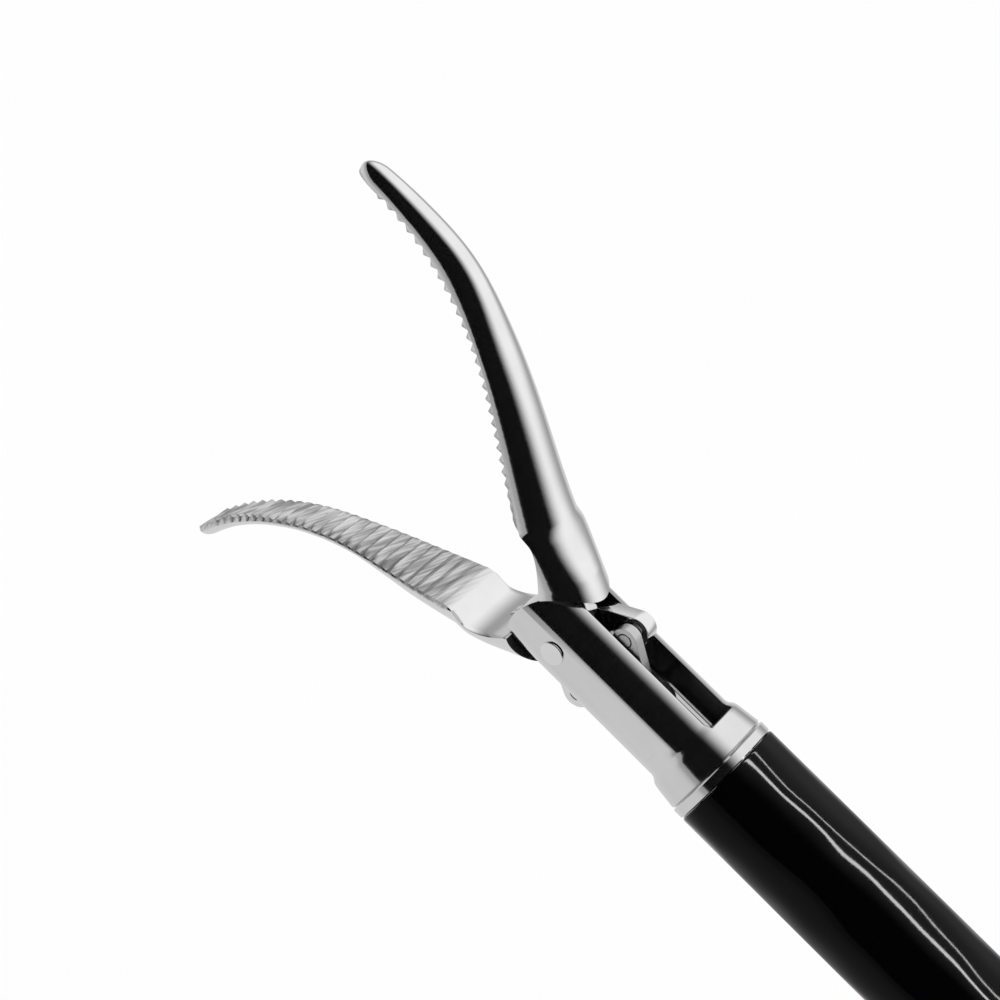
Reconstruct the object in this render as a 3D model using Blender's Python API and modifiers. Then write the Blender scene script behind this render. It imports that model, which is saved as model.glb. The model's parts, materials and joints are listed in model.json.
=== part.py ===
"""Laparoscopic grasper: a 5 mm curved double-action instrument with a rotating shaft and a ring handle.

The shaft lies along X with the jaws at +X, the jaw pivot's axis is along Y, and the handle hangs down.
Places are measured from the jaw pivot on the shaft's axis. The root empty moves the whole instrument,
so that the bottom centre of its box is the world's origin. The jaws are open, as they rest.
"""

import math

import bmesh
import bpy
import numpy as np
from mathutils import Matrix, Vector

MM = 0.001
RUNNING_GAP = 0.05 * MM
SEAT_GAP = 0.03 * MM

# Driving dimensions: jaws and their linkage
JAW_LENGTH = 20.3 * MM
JAW_OPENING = math.radians(33)
JAW_BODY_START = 2.4 * MM
JAW_BASE_HALF_WIDTH = 1.9 * MM
JAW_BASE_HEIGHT = 1.9 * MM
JAW_TIP_HALF_WIDTH = 0.55 * MM
JAW_TIP_HEIGHT = 0.9 * MM
JAW_TIP_ROUND = 0.75 * MM
CURVE_START = 3.0 * MM
CURVE_RISE = 35.3
CURVE_HOOK = 2480.0
EASE_START = 14.5 * MM
CURVE_EASE = 13.9
TOOTH_START = 5.7 * MM
TOOTH_PITCH = 0.5 * MM
TOOTH_HEIGHT = 0.22 * MM
CLOSED_GAP = 0.08 * MM
RELIEF_DEPTH = 0.6 * MM
RELIEF_SKEW = 0.8
RELIEF_WAVE = 0.9 * math.pi
TAIL_ARM = 2.7 * MM
TAIL_ANGLE_CLOSED = math.radians(17)
TAIL_THICKNESS = 0.7 * MM
TAIL_BOSS_RADIUS = 1.3 * MM
TAIL_LOBE_RADIUS = 0.65 * MM
TAIL_ROOT_RADIUS = 0.8 * MM
LINK_LENGTH = 3.2 * MM
LINK_THICKNESS = 0.48 * MM
LINK_EYE_RADIUS = 0.55 * MM
LINK_SLOT_SLACK = 0.15 * MM
LINK_SLOT_HALF_WIDTH = 0.36 * MM
PIVOT_PIN_RADIUS = 0.45 * MM
PIVOT_PIN_DOME = 0.1 * MM
LINK_PIN_RADIUS = 0.28 * MM
CROSS_PIN_RADIUS = 0.25 * MM
TONGUE_THICKNESS = 0.4 * MM
TONGUE_HALF_HEIGHT = 0.55 * MM
TONGUE_ROOT = 1.5 * MM

# Driving dimensions: clevis and shaft
CLEVIS_RADIUS = 2.1 * MM
CLEVIS_FLAT = 2.0 * MM
CLEVIS_TIP_RADIUS = 2.2 * MM
CLEVIS_NECK_RADIUS = 2.33 * MM
CLEVIS_SHOULDER_RADIUS = 2.45 * MM
CLEVIS_EDGE = 0.08 * MM
SLOT_WIDTH = 1.6 * MM
SLOT_BOTTOM = -6.55 * MM
EAR_START = -6.2 * MM
FILLET_START = -6.7 * MM
RING_WIDTH = 0.5 * MM
SHEATH_FRONT = -8.3 * MM
SPIGOT_RADIUS = 1.5 * MM
SPIGOT_END = -14 * MM
SHAFT_RADIUS = 2.5 * MM
SHEATH_WALL = 0.4 * MM
TUBE_RADIUS = SHAFT_RADIUS - SHEATH_WALL - RUNNING_GAP
TUBE_WALL = 0.5 * MM
ROD_RADIUS = 1.0 * MM
ROD_SETBACK = 0.6 * MM
BUSH_FRONT = -18 * MM
BUSH_LENGTH = 6 * MM

# Driving dimensions: knob and handle
KNOB_FRONT = -310 * MM
KNOB_LENGTH = 18.9 * MM
KNOB_RADIUS = 12.5 * MM
KNOB_NOSE_RADIUS = 6.5 * MM
KNOB_FLUTES = 8
KNOB_FLUTE_DEPTH = 1.5 * MM
KNOB_SOCKET_DEPTH = 6 * MM
SPIGOT_WALL_HOLE = 5.6 * MM
HOUSING_WALL = 4 * MM
FLANGE_RADIUS = 7.3 * MM
FLANGE_WIDTH = 3.3 * MM
COLLAR_RADIUS = 4.1 * MM
COLLAR_WIDTH = 2.5 * MM
NUT_WIDTH = 3.0 * MM
SPANNER_WIDTH = 1.2 * MM
SPANNER_DEPTH = 1.0 * MM
SEAL_LENGTH = 3.0 * MM
HOUSING_LENGTH = 57 * MM
LEVER_PIVOT_SETBACK = 33 * MM
LEVER_SWING = math.radians(16.5)
LEVER_PIN_RADIUS = 2.0 * MM
LEVER_PIN_HALF_LENGTH = 8.2 * MM
LEVER_THICKNESS = 6.4 * MM
LEVER_HUB_RADIUS = 5.2 * MM
LEVER_HEAD_TOP = 3.6 * MM
LEVER_HEAD_HALF = 3.4 * MM
LEVER_SIDE_GAP = 0.2 * MM
CAVITY_TOP = 7 * MM
CAVITY_REACH = 9.5 * MM
BALL_RADIUS = 2.0 * MM
BALL_GAP = 0.07 * MM
THROAT_HALF_WIDTH = 1.25 * MM
THROAT_BOTTOM = -2.3 * MM
THROAT_REAR_BOTTOM = -1.4 * MM
LOCK_NUT_LEAD = 5.8 * MM
LOCK_NUT_WIDTH = 1.4 * MM
LOCK_NUT_RADIUS = 1.9 * MM
FINGER_RING_CENTRE = (-2.0 * MM, -68 * MM)
FINGER_RING_HALF = (15.5 * MM, 21 * MM)
THUMB_RING_CENTRE = (-27 * MM, -58 * MM)
THUMB_RING_HALF = (13.5 * MM, 16 * MM)
RING_BAR_HALF = (3.2 * MM, 4.8 * MM)
POST_SETBACK = 23 * MM
POST_RADIUS = 2.0 * MM
POST_TOP = 26 * MM
POST_SLEEVE_RADIUS = 3.8 * MM
POST_SLEEVE_TOP = 17 * MM
POST_SLEEVE_SEAT = 9 * MM
SCREW_SHANK_RADIUS = 1.2 * MM
SCREW_HEAD_RADIUS = 2.4 * MM
SCREW_HEAD_HEIGHT = 1.8 * MM
SCREW_HEAD_GAP = 0.15 * MM
SCREW_KEY_RADIUS = 1.15 * MM
SCREW_KEY_DEPTH = 1 * MM
CUTTER_REACH = 20 * MM

# Places that follow from the driving dimensions
RING_FRONT = SHEATH_FRONT + RING_WIDTH
KNOB_REAR = KNOB_FRONT - KNOB_LENGTH
HOUSING_FRONT = KNOB_REAR - 0.4 * MM
FLANGE_FRONT = HOUSING_FRONT - HOUSING_WALL
FLANGE_REAR = FLANGE_FRONT - FLANGE_WIDTH
HOUSING_REAR = HOUSING_FRONT - HOUSING_LENGTH
COLLAR_FRONT = FLANGE_REAR + COLLAR_WIDTH + NUT_WIDTH + 0.5 * MM
TAIL_ANGLE_OPEN = TAIL_ANGLE_CLOSED + JAW_OPENING


def rod_pin_x(tail_angle):
    """Where the rod's cross pin is on the axis when the tails stand at this angle to it."""
    reach = math.sqrt(LINK_LENGTH**2 - (TAIL_ARM * math.sin(tail_angle)) ** 2)
    return -TAIL_ARM * math.cos(tail_angle) - reach


ROD_PIN_OPEN = rod_pin_x(TAIL_ANGLE_OPEN)
ROD_TRAVEL = ROD_PIN_OPEN - rod_pin_x(TAIL_ANGLE_CLOSED)
LEVER_ARM = ROD_TRAVEL / 2 / math.tan(LEVER_SWING / 2)
LEVER_PIVOT = (HOUSING_FRONT - LEVER_PIVOT_SETBACK, -LEVER_ARM)
BALL_X = LEVER_PIVOT[0] + ROD_TRAVEL / 2

PARTS = bpy.data.collections.new("laparoscopic_grasper")
CUTTERS = bpy.data.collections.new("cutters")


def start_scene():
    for obj in list(bpy.data.objects):
        bpy.data.objects.remove(obj, do_unlink=True)
    bpy.context.scene.collection.children.link(PARTS)
    bpy.context.scene.collection.children.link(CUTTERS)


def material(name, colour, roughness, metallic):
    made = bpy.data.materials.get(name) or bpy.data.materials.new(name)
    made.use_nodes = True
    shader = made.node_tree.nodes["Principled BSDF"]
    shader.inputs["Base Color"].default_value = (*colour, 1)
    shader.inputs["Roughness"].default_value = roughness
    shader.inputs["Metallic"].default_value = metallic
    return made


def steel():
    return material("polished_steel", (0.72, 0.72, 0.73), 0.2, 1.0)


def black_plastic():
    return material("black_plastic", (0.02, 0.02, 0.022), 0.35, 0.0)


def white_plastic():
    return material("white_ptfe", (0.85, 0.85, 0.83), 0.4, 0.0)


# Shape makers: each returns an object whose mesh is one closed body


def object_from_bmesh(name, shape):
    bmesh.ops.remove_doubles(shape, verts=shape.verts, dist=1e-7)
    bmesh.ops.recalc_face_normals(shape, faces=shape.faces)
    mesh = bpy.data.meshes.new(name)
    shape.to_mesh(mesh)
    shape.free()
    obj = bpy.data.objects.new(name, mesh)
    CUTTERS.objects.link(obj)
    obj.hide_render = True
    obj.display_type = "WIRE"
    return obj


def frozen(obj):
    """The object with its modifiers or its curve made a mesh, with the seams merged."""
    bpy.context.view_layer.update()
    graph = bpy.context.evaluated_depsgraph_get()
    mesh = bpy.data.meshes.new_from_object(obj.evaluated_get(graph))
    shape = bmesh.new()
    shape.from_mesh(mesh)
    shape.transform(obj.matrix_world)
    name = obj.name
    bpy.data.objects.remove(obj, do_unlink=True)
    bpy.data.meshes.remove(mesh)
    return object_from_bmesh(name, shape)


def turned(name, profile, steps=32):
    """A profile of (place along X, radius) points, closed on itself or ending on the axis, turned about X."""
    shape = bmesh.new()
    points = [shape.verts.new((radius, 0, along)) for along, radius in profile]
    on_axis = profile[0][1] == 0 and profile[-1][1] == 0
    for first, second in zip(points, points[1:]):
        shape.edges.new((first, second))
    if not on_axis:
        shape.edges.new((points[-1], points[0]))
    mesh = bpy.data.meshes.new(name)
    shape.to_mesh(mesh)
    shape.free()
    obj = bpy.data.objects.new(name, mesh)
    CUTTERS.objects.link(obj)
    screw = obj.modifiers.new("turn", "SCREW")
    screw.axis = "Z"
    screw.steps = screw.render_steps = steps
    screw.use_merge_vertices = True
    screw.merge_threshold = 1e-7
    obj.rotation_euler = (0, math.pi / 2, 0)
    return frozen(obj)


def tube(name, front, rear, outer, inner, steps=32, chamfer=0.0):
    return turned(
        name,
        [
            (rear, inner),
            (rear, outer - chamfer),
            (rear + chamfer, outer),
            (front - chamfer, outer),
            (front, outer - chamfer),
            (front, inner),
        ],
        steps,
    )


def rod(name, front, rear, radius, steps=32, chamfer=0.0):
    return turned(
        name,
        [
            (rear, 0),
            (rear, radius - chamfer),
            (rear + chamfer, radius),
            (front - chamfer, radius),
            (front, radius - chamfer),
            (front, 0),
        ],
        steps,
    )


def across(obj, x, z):
    """Turns an object made along X so that it lies along Y through (x, z)."""
    obj.data.transform(Matrix.Translation((x, 0, z)) @ Matrix.Rotation(math.pi / 2, 4, "Z"))
    return obj


def upright(obj, x):
    """Turns an object made along X so that it stands along Z at x."""
    obj.data.transform(Matrix.Translation((x, 0, 0)) @ Matrix.Rotation(-math.pi / 2, 4, "Y"))
    return obj


def circle(x, z, radius, count=24):
    turn = np.arange(count) * 2 * np.pi / count
    return [(x + radius * math.cos(a), z + radius * math.sin(a)) for a in turn]


def hull(points):
    """The convex outline round a set of (x, z) points."""
    ordered = sorted(set(points))
    sides = []
    for run in (ordered, ordered[::-1]):
        side = []
        for point in run:
            while len(side) > 1:
                (ax, az), (bx, bz) = side[-2], side[-1]
                if (bx - ax) * (point[1] - az) - (bz - az) * (point[0] - ax) > 1e-12:
                    break
                side.pop()
            side.append(point)
        sides.append(side[:-1])
    return sides[0] + sides[1]


def plate(name, outlines, low_y, high_y):
    """A flat piece: the first (x, z) outline, less the others, between two places along Y."""
    curve = bpy.data.curves.new(name, "CURVE")
    curve.dimensions = "2D"
    curve.fill_mode = "BOTH"
    curve.extrude = (high_y - low_y) / 2
    for outline in outlines:
        spline = curve.splines.new("POLY")
        spline.points.add(len(outline) - 1)
        for point, (x, z) in zip(spline.points, outline):
            point.co = (x, z, 0, 1)
        spline.use_cyclic_u = True
    obj = bpy.data.objects.new(name, curve)
    CUTTERS.objects.link(obj)
    obj.location = (0, (low_y + high_y) / 2, 0)
    obj.rotation_euler = (math.pi / 2, 0, 0)
    return frozen(obj)


def box(name, low, high):
    shape = bmesh.new()
    bmesh.ops.create_cube(shape, size=1)
    size = Vector(high) - Vector(low)
    middle = (Vector(high) + Vector(low)) / 2
    shape.transform(Matrix.Translation(middle) @ Matrix.Diagonal((*size, 1)))
    return object_from_bmesh(name, shape)


def loft(name, rows, looped=False):
    """A skin over rows of points, each row a closed section. Looped rows join end to end, others get caps."""
    shape = bmesh.new()
    grid = [[shape.verts.new(point) for point in row] for row in rows]
    pairs = list(zip(grid, grid[1:])) + ([(grid[-1], grid[0])] if looped else [])
    count = len(rows[0])
    for first, second in pairs:
        for i in range(count):
            j = (i + 1) % count
            shape.faces.new((first[i], first[j], second[j], second[i]))
    if not looped:
        shape.faces.new(grid[0])
        shape.faces.new(grid[-1])
    return object_from_bmesh(name, shape)


def combine(target, other, operation, solver="EXACT"):
    """The target joined with, or cut by, the other object, which is used up."""
    change = target.modifiers.new("cut", "BOOLEAN")
    change.operation = operation
    change.object = other
    change.solver = solver
    result = frozen(target)
    bpy.data.objects.remove(other, do_unlink=True)
    return result


def joined(target, *others):
    for other in others:
        target = combine(target, other, "UNION")
    return target


def cut(target, *others):
    for other in others:
        target = combine(target, other, "DIFFERENCE")
    return target


def piece(obj, finish, parent, axis_at=(0, 0, 0), turn_y=0.0):
    """Makes a shape a part of the instrument: its own origin goes to axis_at, and it is turned there about Y."""
    name = obj.name
    obj.data.transform(Matrix.Translation(-Vector(axis_at)))
    obj.location = axis_at
    obj.rotation_euler = (0, turn_y, 0)
    obj.parent = parent
    CUTTERS.objects.unlink(obj)
    PARTS.objects.link(obj)
    obj.hide_render = False
    obj.display_type = "TEXTURED"
    obj.data.materials.append(finish)
    obj.data.shade_smooth()
    obj.data.set_sharp_from_angle(angle=math.radians(30))
    obj.name = name
    return obj


# Jaws


def mating_height(x):
    """The line where the closed jaws meet: it rises, hooks down, and eases a little towards the tip."""
    run = np.maximum(x - CURVE_START, 0)
    eased = np.maximum(x - EASE_START, 0)
    return CURVE_RISE * run**2 - CURVE_HOOK * run**3 + CURVE_EASE * eased**2


def mating_slope(x):
    run = np.maximum(x - CURVE_START, 0)
    eased = np.maximum(x - EASE_START, 0)
    return 2 * CURVE_RISE * run - 3 * CURVE_HOOK * run**2 + 2 * CURVE_EASE * eased


def jaw_stations():
    """Places along a jaw: a few through the relief, two to a tooth, then close ones round the tip."""
    relief = np.linspace(JAW_BODY_START, TOOTH_START, 7)[:-1]
    round_start = JAW_LENGTH - JAW_TIP_ROUND
    teeth = int((round_start - TOOTH_START) / TOOTH_PITCH)
    toothed = TOOTH_START + np.arange(2 * teeth + 1) * TOOTH_PITCH / 2
    tip = JAW_LENGTH - JAW_TIP_ROUND * (1 - np.sin(np.radians([15, 35, 52, 68, 82])))
    return relief, toothed, tip


def jaw_body(name, back):
    """A half-round jaw on one side of the mating line. back is 1 for the upper jaw and -1 for the lower."""
    relief, toothed, tip = jaw_stations()
    rows = []
    arc = np.radians(np.linspace(0, 180, 9))
    for x in np.concatenate([relief, toothed, tip]):
        share = (JAW_LENGTH - x) / (JAW_LENGTH - JAW_BODY_START)
        half_width = JAW_TIP_HALF_WIDTH + (JAW_BASE_HALF_WIDTH - JAW_TIP_HALF_WIDTH) * share
        height = JAW_TIP_HEIGHT + (JAW_BASE_HEIGHT - JAW_TIP_HEIGHT) * share**2
        face = CLOSED_GAP / 2
        if x < TOOTH_START:
            along = (TOOTH_START - x) / (TOOTH_START - JAW_BODY_START)
            face += RELIEF_DEPTH * math.sin(RELIEF_WAVE * along**RELIEF_SKEW)
        elif x <= toothed[-1]:
            crest = round((x - TOOTH_START) / (TOOTH_PITCH / 2)) % 2
            face += back * TOOTH_HEIGHT * (crest - 0.5)
        if x > JAW_LENGTH - JAW_TIP_ROUND:
            inward = (x - JAW_LENGTH + JAW_TIP_ROUND) / JAW_TIP_ROUND
            rounding = math.sqrt(max(1 - inward**2, 0))
            half_width *= rounding
            height *= 0.35 + 0.65 * rounding
        lift = face + (height - face) * np.sin(arc)
        slope = math.atan(float(mating_slope(x)))
        centre_z = float(mating_height(x))
        rows.append(
            np.stack(
                [
                    x - back * lift * math.sin(slope),
                    half_width * np.cos(arc),
                    centre_z + back * lift * math.cos(slope),
                ],
                axis=1,
            )
        )
    return loft(name, rows)


def make_jaw(name, back, parent):
    """The jaw body with its flat tail: a boss on the pivot and a lobe on the link's pin."""
    tail_low = SEAT_GAP if back > 0 else -SEAT_GAP - TAIL_THICKNESS
    lobe_x = -TAIL_ARM * math.cos(TAIL_ANGLE_CLOSED)
    lobe_z = -back * TAIL_ARM * math.sin(TAIL_ANGLE_CLOSED)
    root_x = JAW_BODY_START + TAIL_ROOT_RADIUS
    root_z = back * (CLOSED_GAP + RELIEF_DEPTH / 2 + TAIL_ROOT_RADIUS)
    outline = hull(circle(0, 0, TAIL_BOSS_RADIUS) + circle(lobe_x, lobe_z, TAIL_LOBE_RADIUS))
    neck = hull(circle(0, 0, TAIL_BOSS_RADIUS) + circle(root_x, root_z, TAIL_ROOT_RADIUS))
    tail = plate(name + "_tail", [outline], tail_low, tail_low + TAIL_THICKNESS)
    root = plate(name + "_root", [neck], tail_low, tail_low + TAIL_THICKNESS)
    far = 2 * SLOT_WIDTH
    pin_hole = across(rod("hole", far, -far, PIVOT_PIN_RADIUS + RUNNING_GAP, 20), 0, 0)
    lobe_hole = across(
        rod("hole", far, -far, LINK_PIN_RADIUS + RUNNING_GAP, 16), lobe_x, lobe_z
    )
    jaw = joined(jaw_body(name, back), joined(root, tail))
    jaw = cut(jaw, pin_hole, lobe_hole)
    piece(jaw, steel(), parent, turn_y=-back * JAW_OPENING)


def link_place(back):
    """Where a link's two pins are with the jaws open: on the tail's lobe, and on the rod's cross pin."""
    lobe = (
        -TAIL_ARM * math.cos(TAIL_ANGLE_OPEN),
        -back * TAIL_ARM * math.sin(TAIL_ANGLE_OPEN),
    )
    return lobe, (ROD_PIN_OPEN, 0.0)


def make_link(name, back, parent):
    """A flat link in the half of the slot beside its jaw's tail, with a short slot at the rod's pin."""
    (lobe_x, lobe_z), (pin_x, pin_z) = link_place(back)
    reach = Vector((pin_x - lobe_x, pin_z - lobe_z)).normalized()
    ends = [(pin_x + s * LINK_SLOT_SLACK * reach.x, s * LINK_SLOT_SLACK * reach.y) for s in (-1, 1)]
    outline = hull(
        circle(lobe_x, lobe_z, LINK_EYE_RADIUS)
        + circle(*ends[0], LINK_EYE_RADIUS)
        + circle(*ends[1], LINK_EYE_RADIUS)
    )
    slot = hull(circle(*ends[0], LINK_SLOT_HALF_WIDTH) + circle(*ends[1], LINK_SLOT_HALF_WIDTH))
    hole = circle(lobe_x, lobe_z, LINK_PIN_RADIUS + RUNNING_GAP, 16)
    near = SEAT_GAP + TAIL_THICKNESS - LINK_THICKNESS
    low = -near - LINK_THICKNESS if back > 0 else near
    link = plate(name, [outline, slot, hole], low, low + LINK_THICKNESS)
    piece(link, steel(), parent, axis_at=(lobe_x, 0, lobe_z))
    half = SEAT_GAP + TAIL_THICKNESS
    pin = across(rod(name + "_pin", half, -half, LINK_PIN_RADIUS, 16), lobe_x, lobe_z)
    piece(pin, steel(), parent, axis_at=(lobe_x, 0, lobe_z))


# Clevis and shaft


def make_clevis(parent):
    """The forked end: a turned body with two flat-sided ears, a slot between them and a spigot in the tube."""
    shoulder = RING_FRONT + SEAT_GAP
    bore = ROD_RADIUS + RUNNING_GAP
    fillet = EAR_START - FILLET_START
    step = CLEVIS_NECK_RADIUS - CLEVIS_RADIUS
    clevis = turned(
        "clevis",
        [
            (SPIGOT_END, bore),
            (SPIGOT_END, SPIGOT_RADIUS),
            (shoulder, SPIGOT_RADIUS),
            (shoulder, CLEVIS_SHOULDER_RADIUS - CLEVIS_EDGE),
            (shoulder + CLEVIS_EDGE, CLEVIS_SHOULDER_RADIUS),
            (FILLET_START, CLEVIS_NECK_RADIUS),
            (FILLET_START + 0.35 * fillet, CLEVIS_NECK_RADIUS - 0.22 * step),
            (FILLET_START + 0.7 * fillet, CLEVIS_RADIUS + 0.22 * step),
            (EAR_START, CLEVIS_RADIUS),
            (CLEVIS_TIP_RADIUS, CLEVIS_RADIUS),
            (CLEVIS_TIP_RADIUS, bore),
        ],
        44,
    )
    far = 2 * CLEVIS_SHOULDER_RADIUS
    half_slot = SLOT_WIDTH / 2
    slot = box("slot", (SLOT_BOTTOM, -half_slot, -far), (far, half_slot, far))
    flat_start = EAR_START + fillet
    near_flat = box("flat", (flat_start, CLEVIS_FLAT, -far), (far, far, far))
    far_flat = box("flat", (flat_start, -far, -far), (far, -CLEVIS_FLAT, far))
    front_half = [
        (CLEVIS_TIP_RADIUS * math.cos(a), CLEVIS_TIP_RADIUS * math.sin(a))
        for a in np.radians(np.linspace(-90, 90, 21))
    ]
    nose = plate(
        "nose", [[(0, -far), *front_half, (0, far), (far, far), (far, -far)]], -far, far
    )
    hole = across(rod("hole", far, -far, PIVOT_PIN_RADIUS + SEAT_GAP, 20), 0, 0)
    piece(cut(clevis, slot, near_flat, far_flat, nose, hole), steel(), parent)


def make_pins(parent, rod_parent):
    end = CLEVIS_FLAT + PIVOT_PIN_DOME
    pivot = across(rod("jaw_pivot_pin", end, -end, PIVOT_PIN_RADIUS, 20, PIVOT_PIN_DOME), 0, 0)
    piece(pivot, steel(), parent)
    half = SEAT_GAP + TAIL_THICKNESS
    cross = across(rod("rod_cross_pin", half, -half, CROSS_PIN_RADIUS, 16), ROD_PIN_OPEN, 0)
    piece(cross, steel(), rod_parent)


def make_shaft(parent):
    ring = tube(
        "collar_ring",
        RING_FRONT,
        SHEATH_FRONT + SEAT_GAP,
        SHAFT_RADIUS,
        SPIGOT_RADIUS + RUNNING_GAP,
        40,
        0.05 * MM,
    )
    piece(ring, steel(), parent)
    sheath_rear = KNOB_FRONT - KNOB_SOCKET_DEPTH + SEAT_GAP
    sheath = tube(
        "insulation_sheath",
        SHEATH_FRONT,
        sheath_rear,
        SHAFT_RADIUS,
        TUBE_RADIUS + RUNNING_GAP,
        32,
        0.06 * MM,
    )
    piece(sheath, black_plastic(), parent)
    inner = tube(
        "inner_tube", SHEATH_FRONT, FLANGE_REAR, TUBE_RADIUS, TUBE_RADIUS - TUBE_WALL, 32
    )
    piece(inner, steel(), parent)
    bush = tube(
        "rod_guide_bush",
        BUSH_FRONT,
        BUSH_FRONT - BUSH_LENGTH,
        TUBE_RADIUS - TUBE_WALL - RUNNING_GAP,
        ROD_RADIUS + RUNNING_GAP,
        24,
    )
    piece(bush, white_plastic(), parent)
    seal = tube(
        "rod_seal",
        COLLAR_FRONT,
        COLLAR_FRONT - SEAL_LENGTH,
        TUBE_RADIUS - TUBE_WALL - SEAT_GAP,
        ROD_RADIUS + SEAT_GAP,
        24,
        0.2 * MM,
    )
    piece(seal, black_plastic(), parent)


def make_rod(parent):
    """The push rod, its brazed tongue and the ball that the lever drives."""
    round_end = SLOT_BOTTOM - ROD_SETBACK
    tongue_root = round_end - TONGUE_ROOT
    body = rod("push_rod", round_end, BALL_X - 0.8 * BALL_RADIUS, ROD_RADIUS, 20, 0.1 * MM)
    half = TONGUE_THICKNESS / 2 + SEAT_GAP
    slit = box("slit", (tongue_root, -half, -2 * ROD_RADIUS), (0, half, 2 * ROD_RADIUS))
    piece(cut(body, slit), steel(), parent)
    outline = [
        (tongue_root + SEAT_GAP, -TONGUE_HALF_HEIGHT),
        *[
            (ROD_PIN_OPEN + TONGUE_HALF_HEIGHT * math.cos(a), TONGUE_HALF_HEIGHT * math.sin(a))
            for a in np.radians(np.linspace(-90, 90, 13))
        ],
        (tongue_root + SEAT_GAP, TONGUE_HALF_HEIGHT),
    ]
    hole = circle(ROD_PIN_OPEN, 0, CROSS_PIN_RADIUS + SEAT_GAP, 16)
    tongue = plate("rod_tongue", [outline, hole], -TONGUE_THICKNESS / 2, TONGUE_THICKNESS / 2)
    piece(tongue, steel(), parent)
    bore = ROD_RADIUS + SEAT_GAP
    start = math.asin(bore / BALL_RADIUS)
    turn = np.linspace(start, math.pi - start, 11)
    profile = [(BALL_X - BALL_RADIUS * math.cos(a), BALL_RADIUS * math.sin(a)) for a in turn]
    piece(turned("rod_ball", profile, 18), steel(), parent)
    nut_rear = BALL_X + LOCK_NUT_LEAD
    nut_front = nut_rear + LOCK_NUT_WIDTH
    nut = rod("rod_lock_nut", nut_front, nut_rear, LOCK_NUT_RADIUS, 6)
    thread = rod("thread", nut_front + MM, nut_rear - MM, bore, 20)
    piece(cut(nut, thread), steel(), parent)


def knob_row(x, radius, flute):
    count = KNOB_FLUTES * 4
    turn = np.arange(count) * 2 * np.pi / count
    wave = (0.5 + 0.5 * np.cos(KNOB_FLUTES * turn)) ** 1.5
    reach = radius - flute * wave
    return np.stack([np.full_like(turn, x), reach * np.cos(turn), reach * np.sin(turn)], axis=1)


def make_knob(parent):
    """The fluted knob: the sheath's socket in front, a collared tail in the housing's groove behind."""
    depth = KNOB_FLUTE_DEPTH
    tail = SPIGOT_WALL_HOLE - 0.1 * MM
    nose = 0.5 * (KNOB_NOSE_RADIUS + KNOB_RADIUS)
    rows = [
        (KNOB_FRONT - KNOB_SOCKET_DEPTH, TUBE_RADIUS + RUNNING_GAP, 0),
        (KNOB_FRONT - KNOB_SOCKET_DEPTH, SHAFT_RADIUS + RUNNING_GAP, 0),
        (KNOB_FRONT, SHAFT_RADIUS + RUNNING_GAP, 0),
        (KNOB_FRONT, KNOB_NOSE_RADIUS - 1.5 * MM, 0),
        (KNOB_FRONT - 0.4 * MM, KNOB_NOSE_RADIUS - 0.4 * MM, 0),
        (KNOB_FRONT - 1.5 * MM, KNOB_NOSE_RADIUS, 0.1 * depth),
        (KNOB_FRONT - 0.2 * KNOB_LENGTH, nose - 1 * MM, 0.5 * depth),
        (KNOB_FRONT - 0.33 * KNOB_LENGTH, KNOB_RADIUS - 1 * MM, depth),
        (KNOB_FRONT - 0.45 * KNOB_LENGTH, KNOB_RADIUS, depth),
        (KNOB_FRONT - 0.8 * KNOB_LENGTH, KNOB_RADIUS, depth),
        (KNOB_REAR + 0.8 * MM, KNOB_RADIUS - 0.2 * MM, 0.8 * depth),
        (KNOB_REAR, KNOB_RADIUS - 1 * MM, 0.5 * depth),
        (KNOB_REAR, tail, 0),
        (FLANGE_FRONT - 0.2 * MM, tail, 0),
        (FLANGE_FRONT - 0.2 * MM, FLANGE_RADIUS, 0),
        (FLANGE_REAR, FLANGE_RADIUS, 0),
        (FLANGE_REAR, COLLAR_RADIUS + RUNNING_GAP, 0),
        (COLLAR_FRONT + SEAT_GAP, COLLAR_RADIUS + RUNNING_GAP, 0),
        (COLLAR_FRONT + SEAT_GAP, TUBE_RADIUS + RUNNING_GAP, 0),
    ]
    knob = loft("rotation_knob", [knob_row(*row) for row in rows], looped=True)
    piece(knob, black_plastic(), parent)
    bore = TUBE_RADIUS + SEAT_GAP
    collar_rear = COLLAR_FRONT - COLLAR_WIDTH
    collar = tube("tube_collar", COLLAR_FRONT, collar_rear, COLLAR_RADIUS, bore, 28, 0.2 * MM)
    piece(collar, steel(), parent)
    nut_front = collar_rear - SEAT_GAP
    nut = tube("tube_lock_nut", nut_front, nut_front - NUT_WIDTH, COLLAR_RADIUS, bore, 28, 0.2 * MM)
    nut_rear = nut_front - NUT_WIDTH
    spanner = box(
        "spanner",
        (nut_rear - SPANNER_DEPTH, -SPANNER_WIDTH / 2, -2 * COLLAR_RADIUS),
        (nut_rear + SPANNER_DEPTH, SPANNER_WIDTH / 2, 2 * COLLAR_RADIUS),
    )
    piece(cut(nut, spanner), steel(), parent)


# Handle


def smooth_table(rows, count):
    """A Catmull-Rom curve through each column of the rows, at evenly spaced places along them."""
    rows = np.array(rows, float)
    padded = np.vstack([2 * rows[0] - rows[1], rows, 2 * rows[-1] - rows[-2]])
    where = np.linspace(0, len(rows) - 1, count)
    index = np.minimum(where.astype(int), len(rows) - 2)
    t = (where - index)[:, None]
    a, b, c, d = (padded[index + i] for i in range(4))
    return 0.5 * (
        2 * b + (c - a) * t + (2 * a - 5 * b + 4 * c - d) * t**2 + (3 * b - a - 3 * c + d) * t**3
    )


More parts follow.
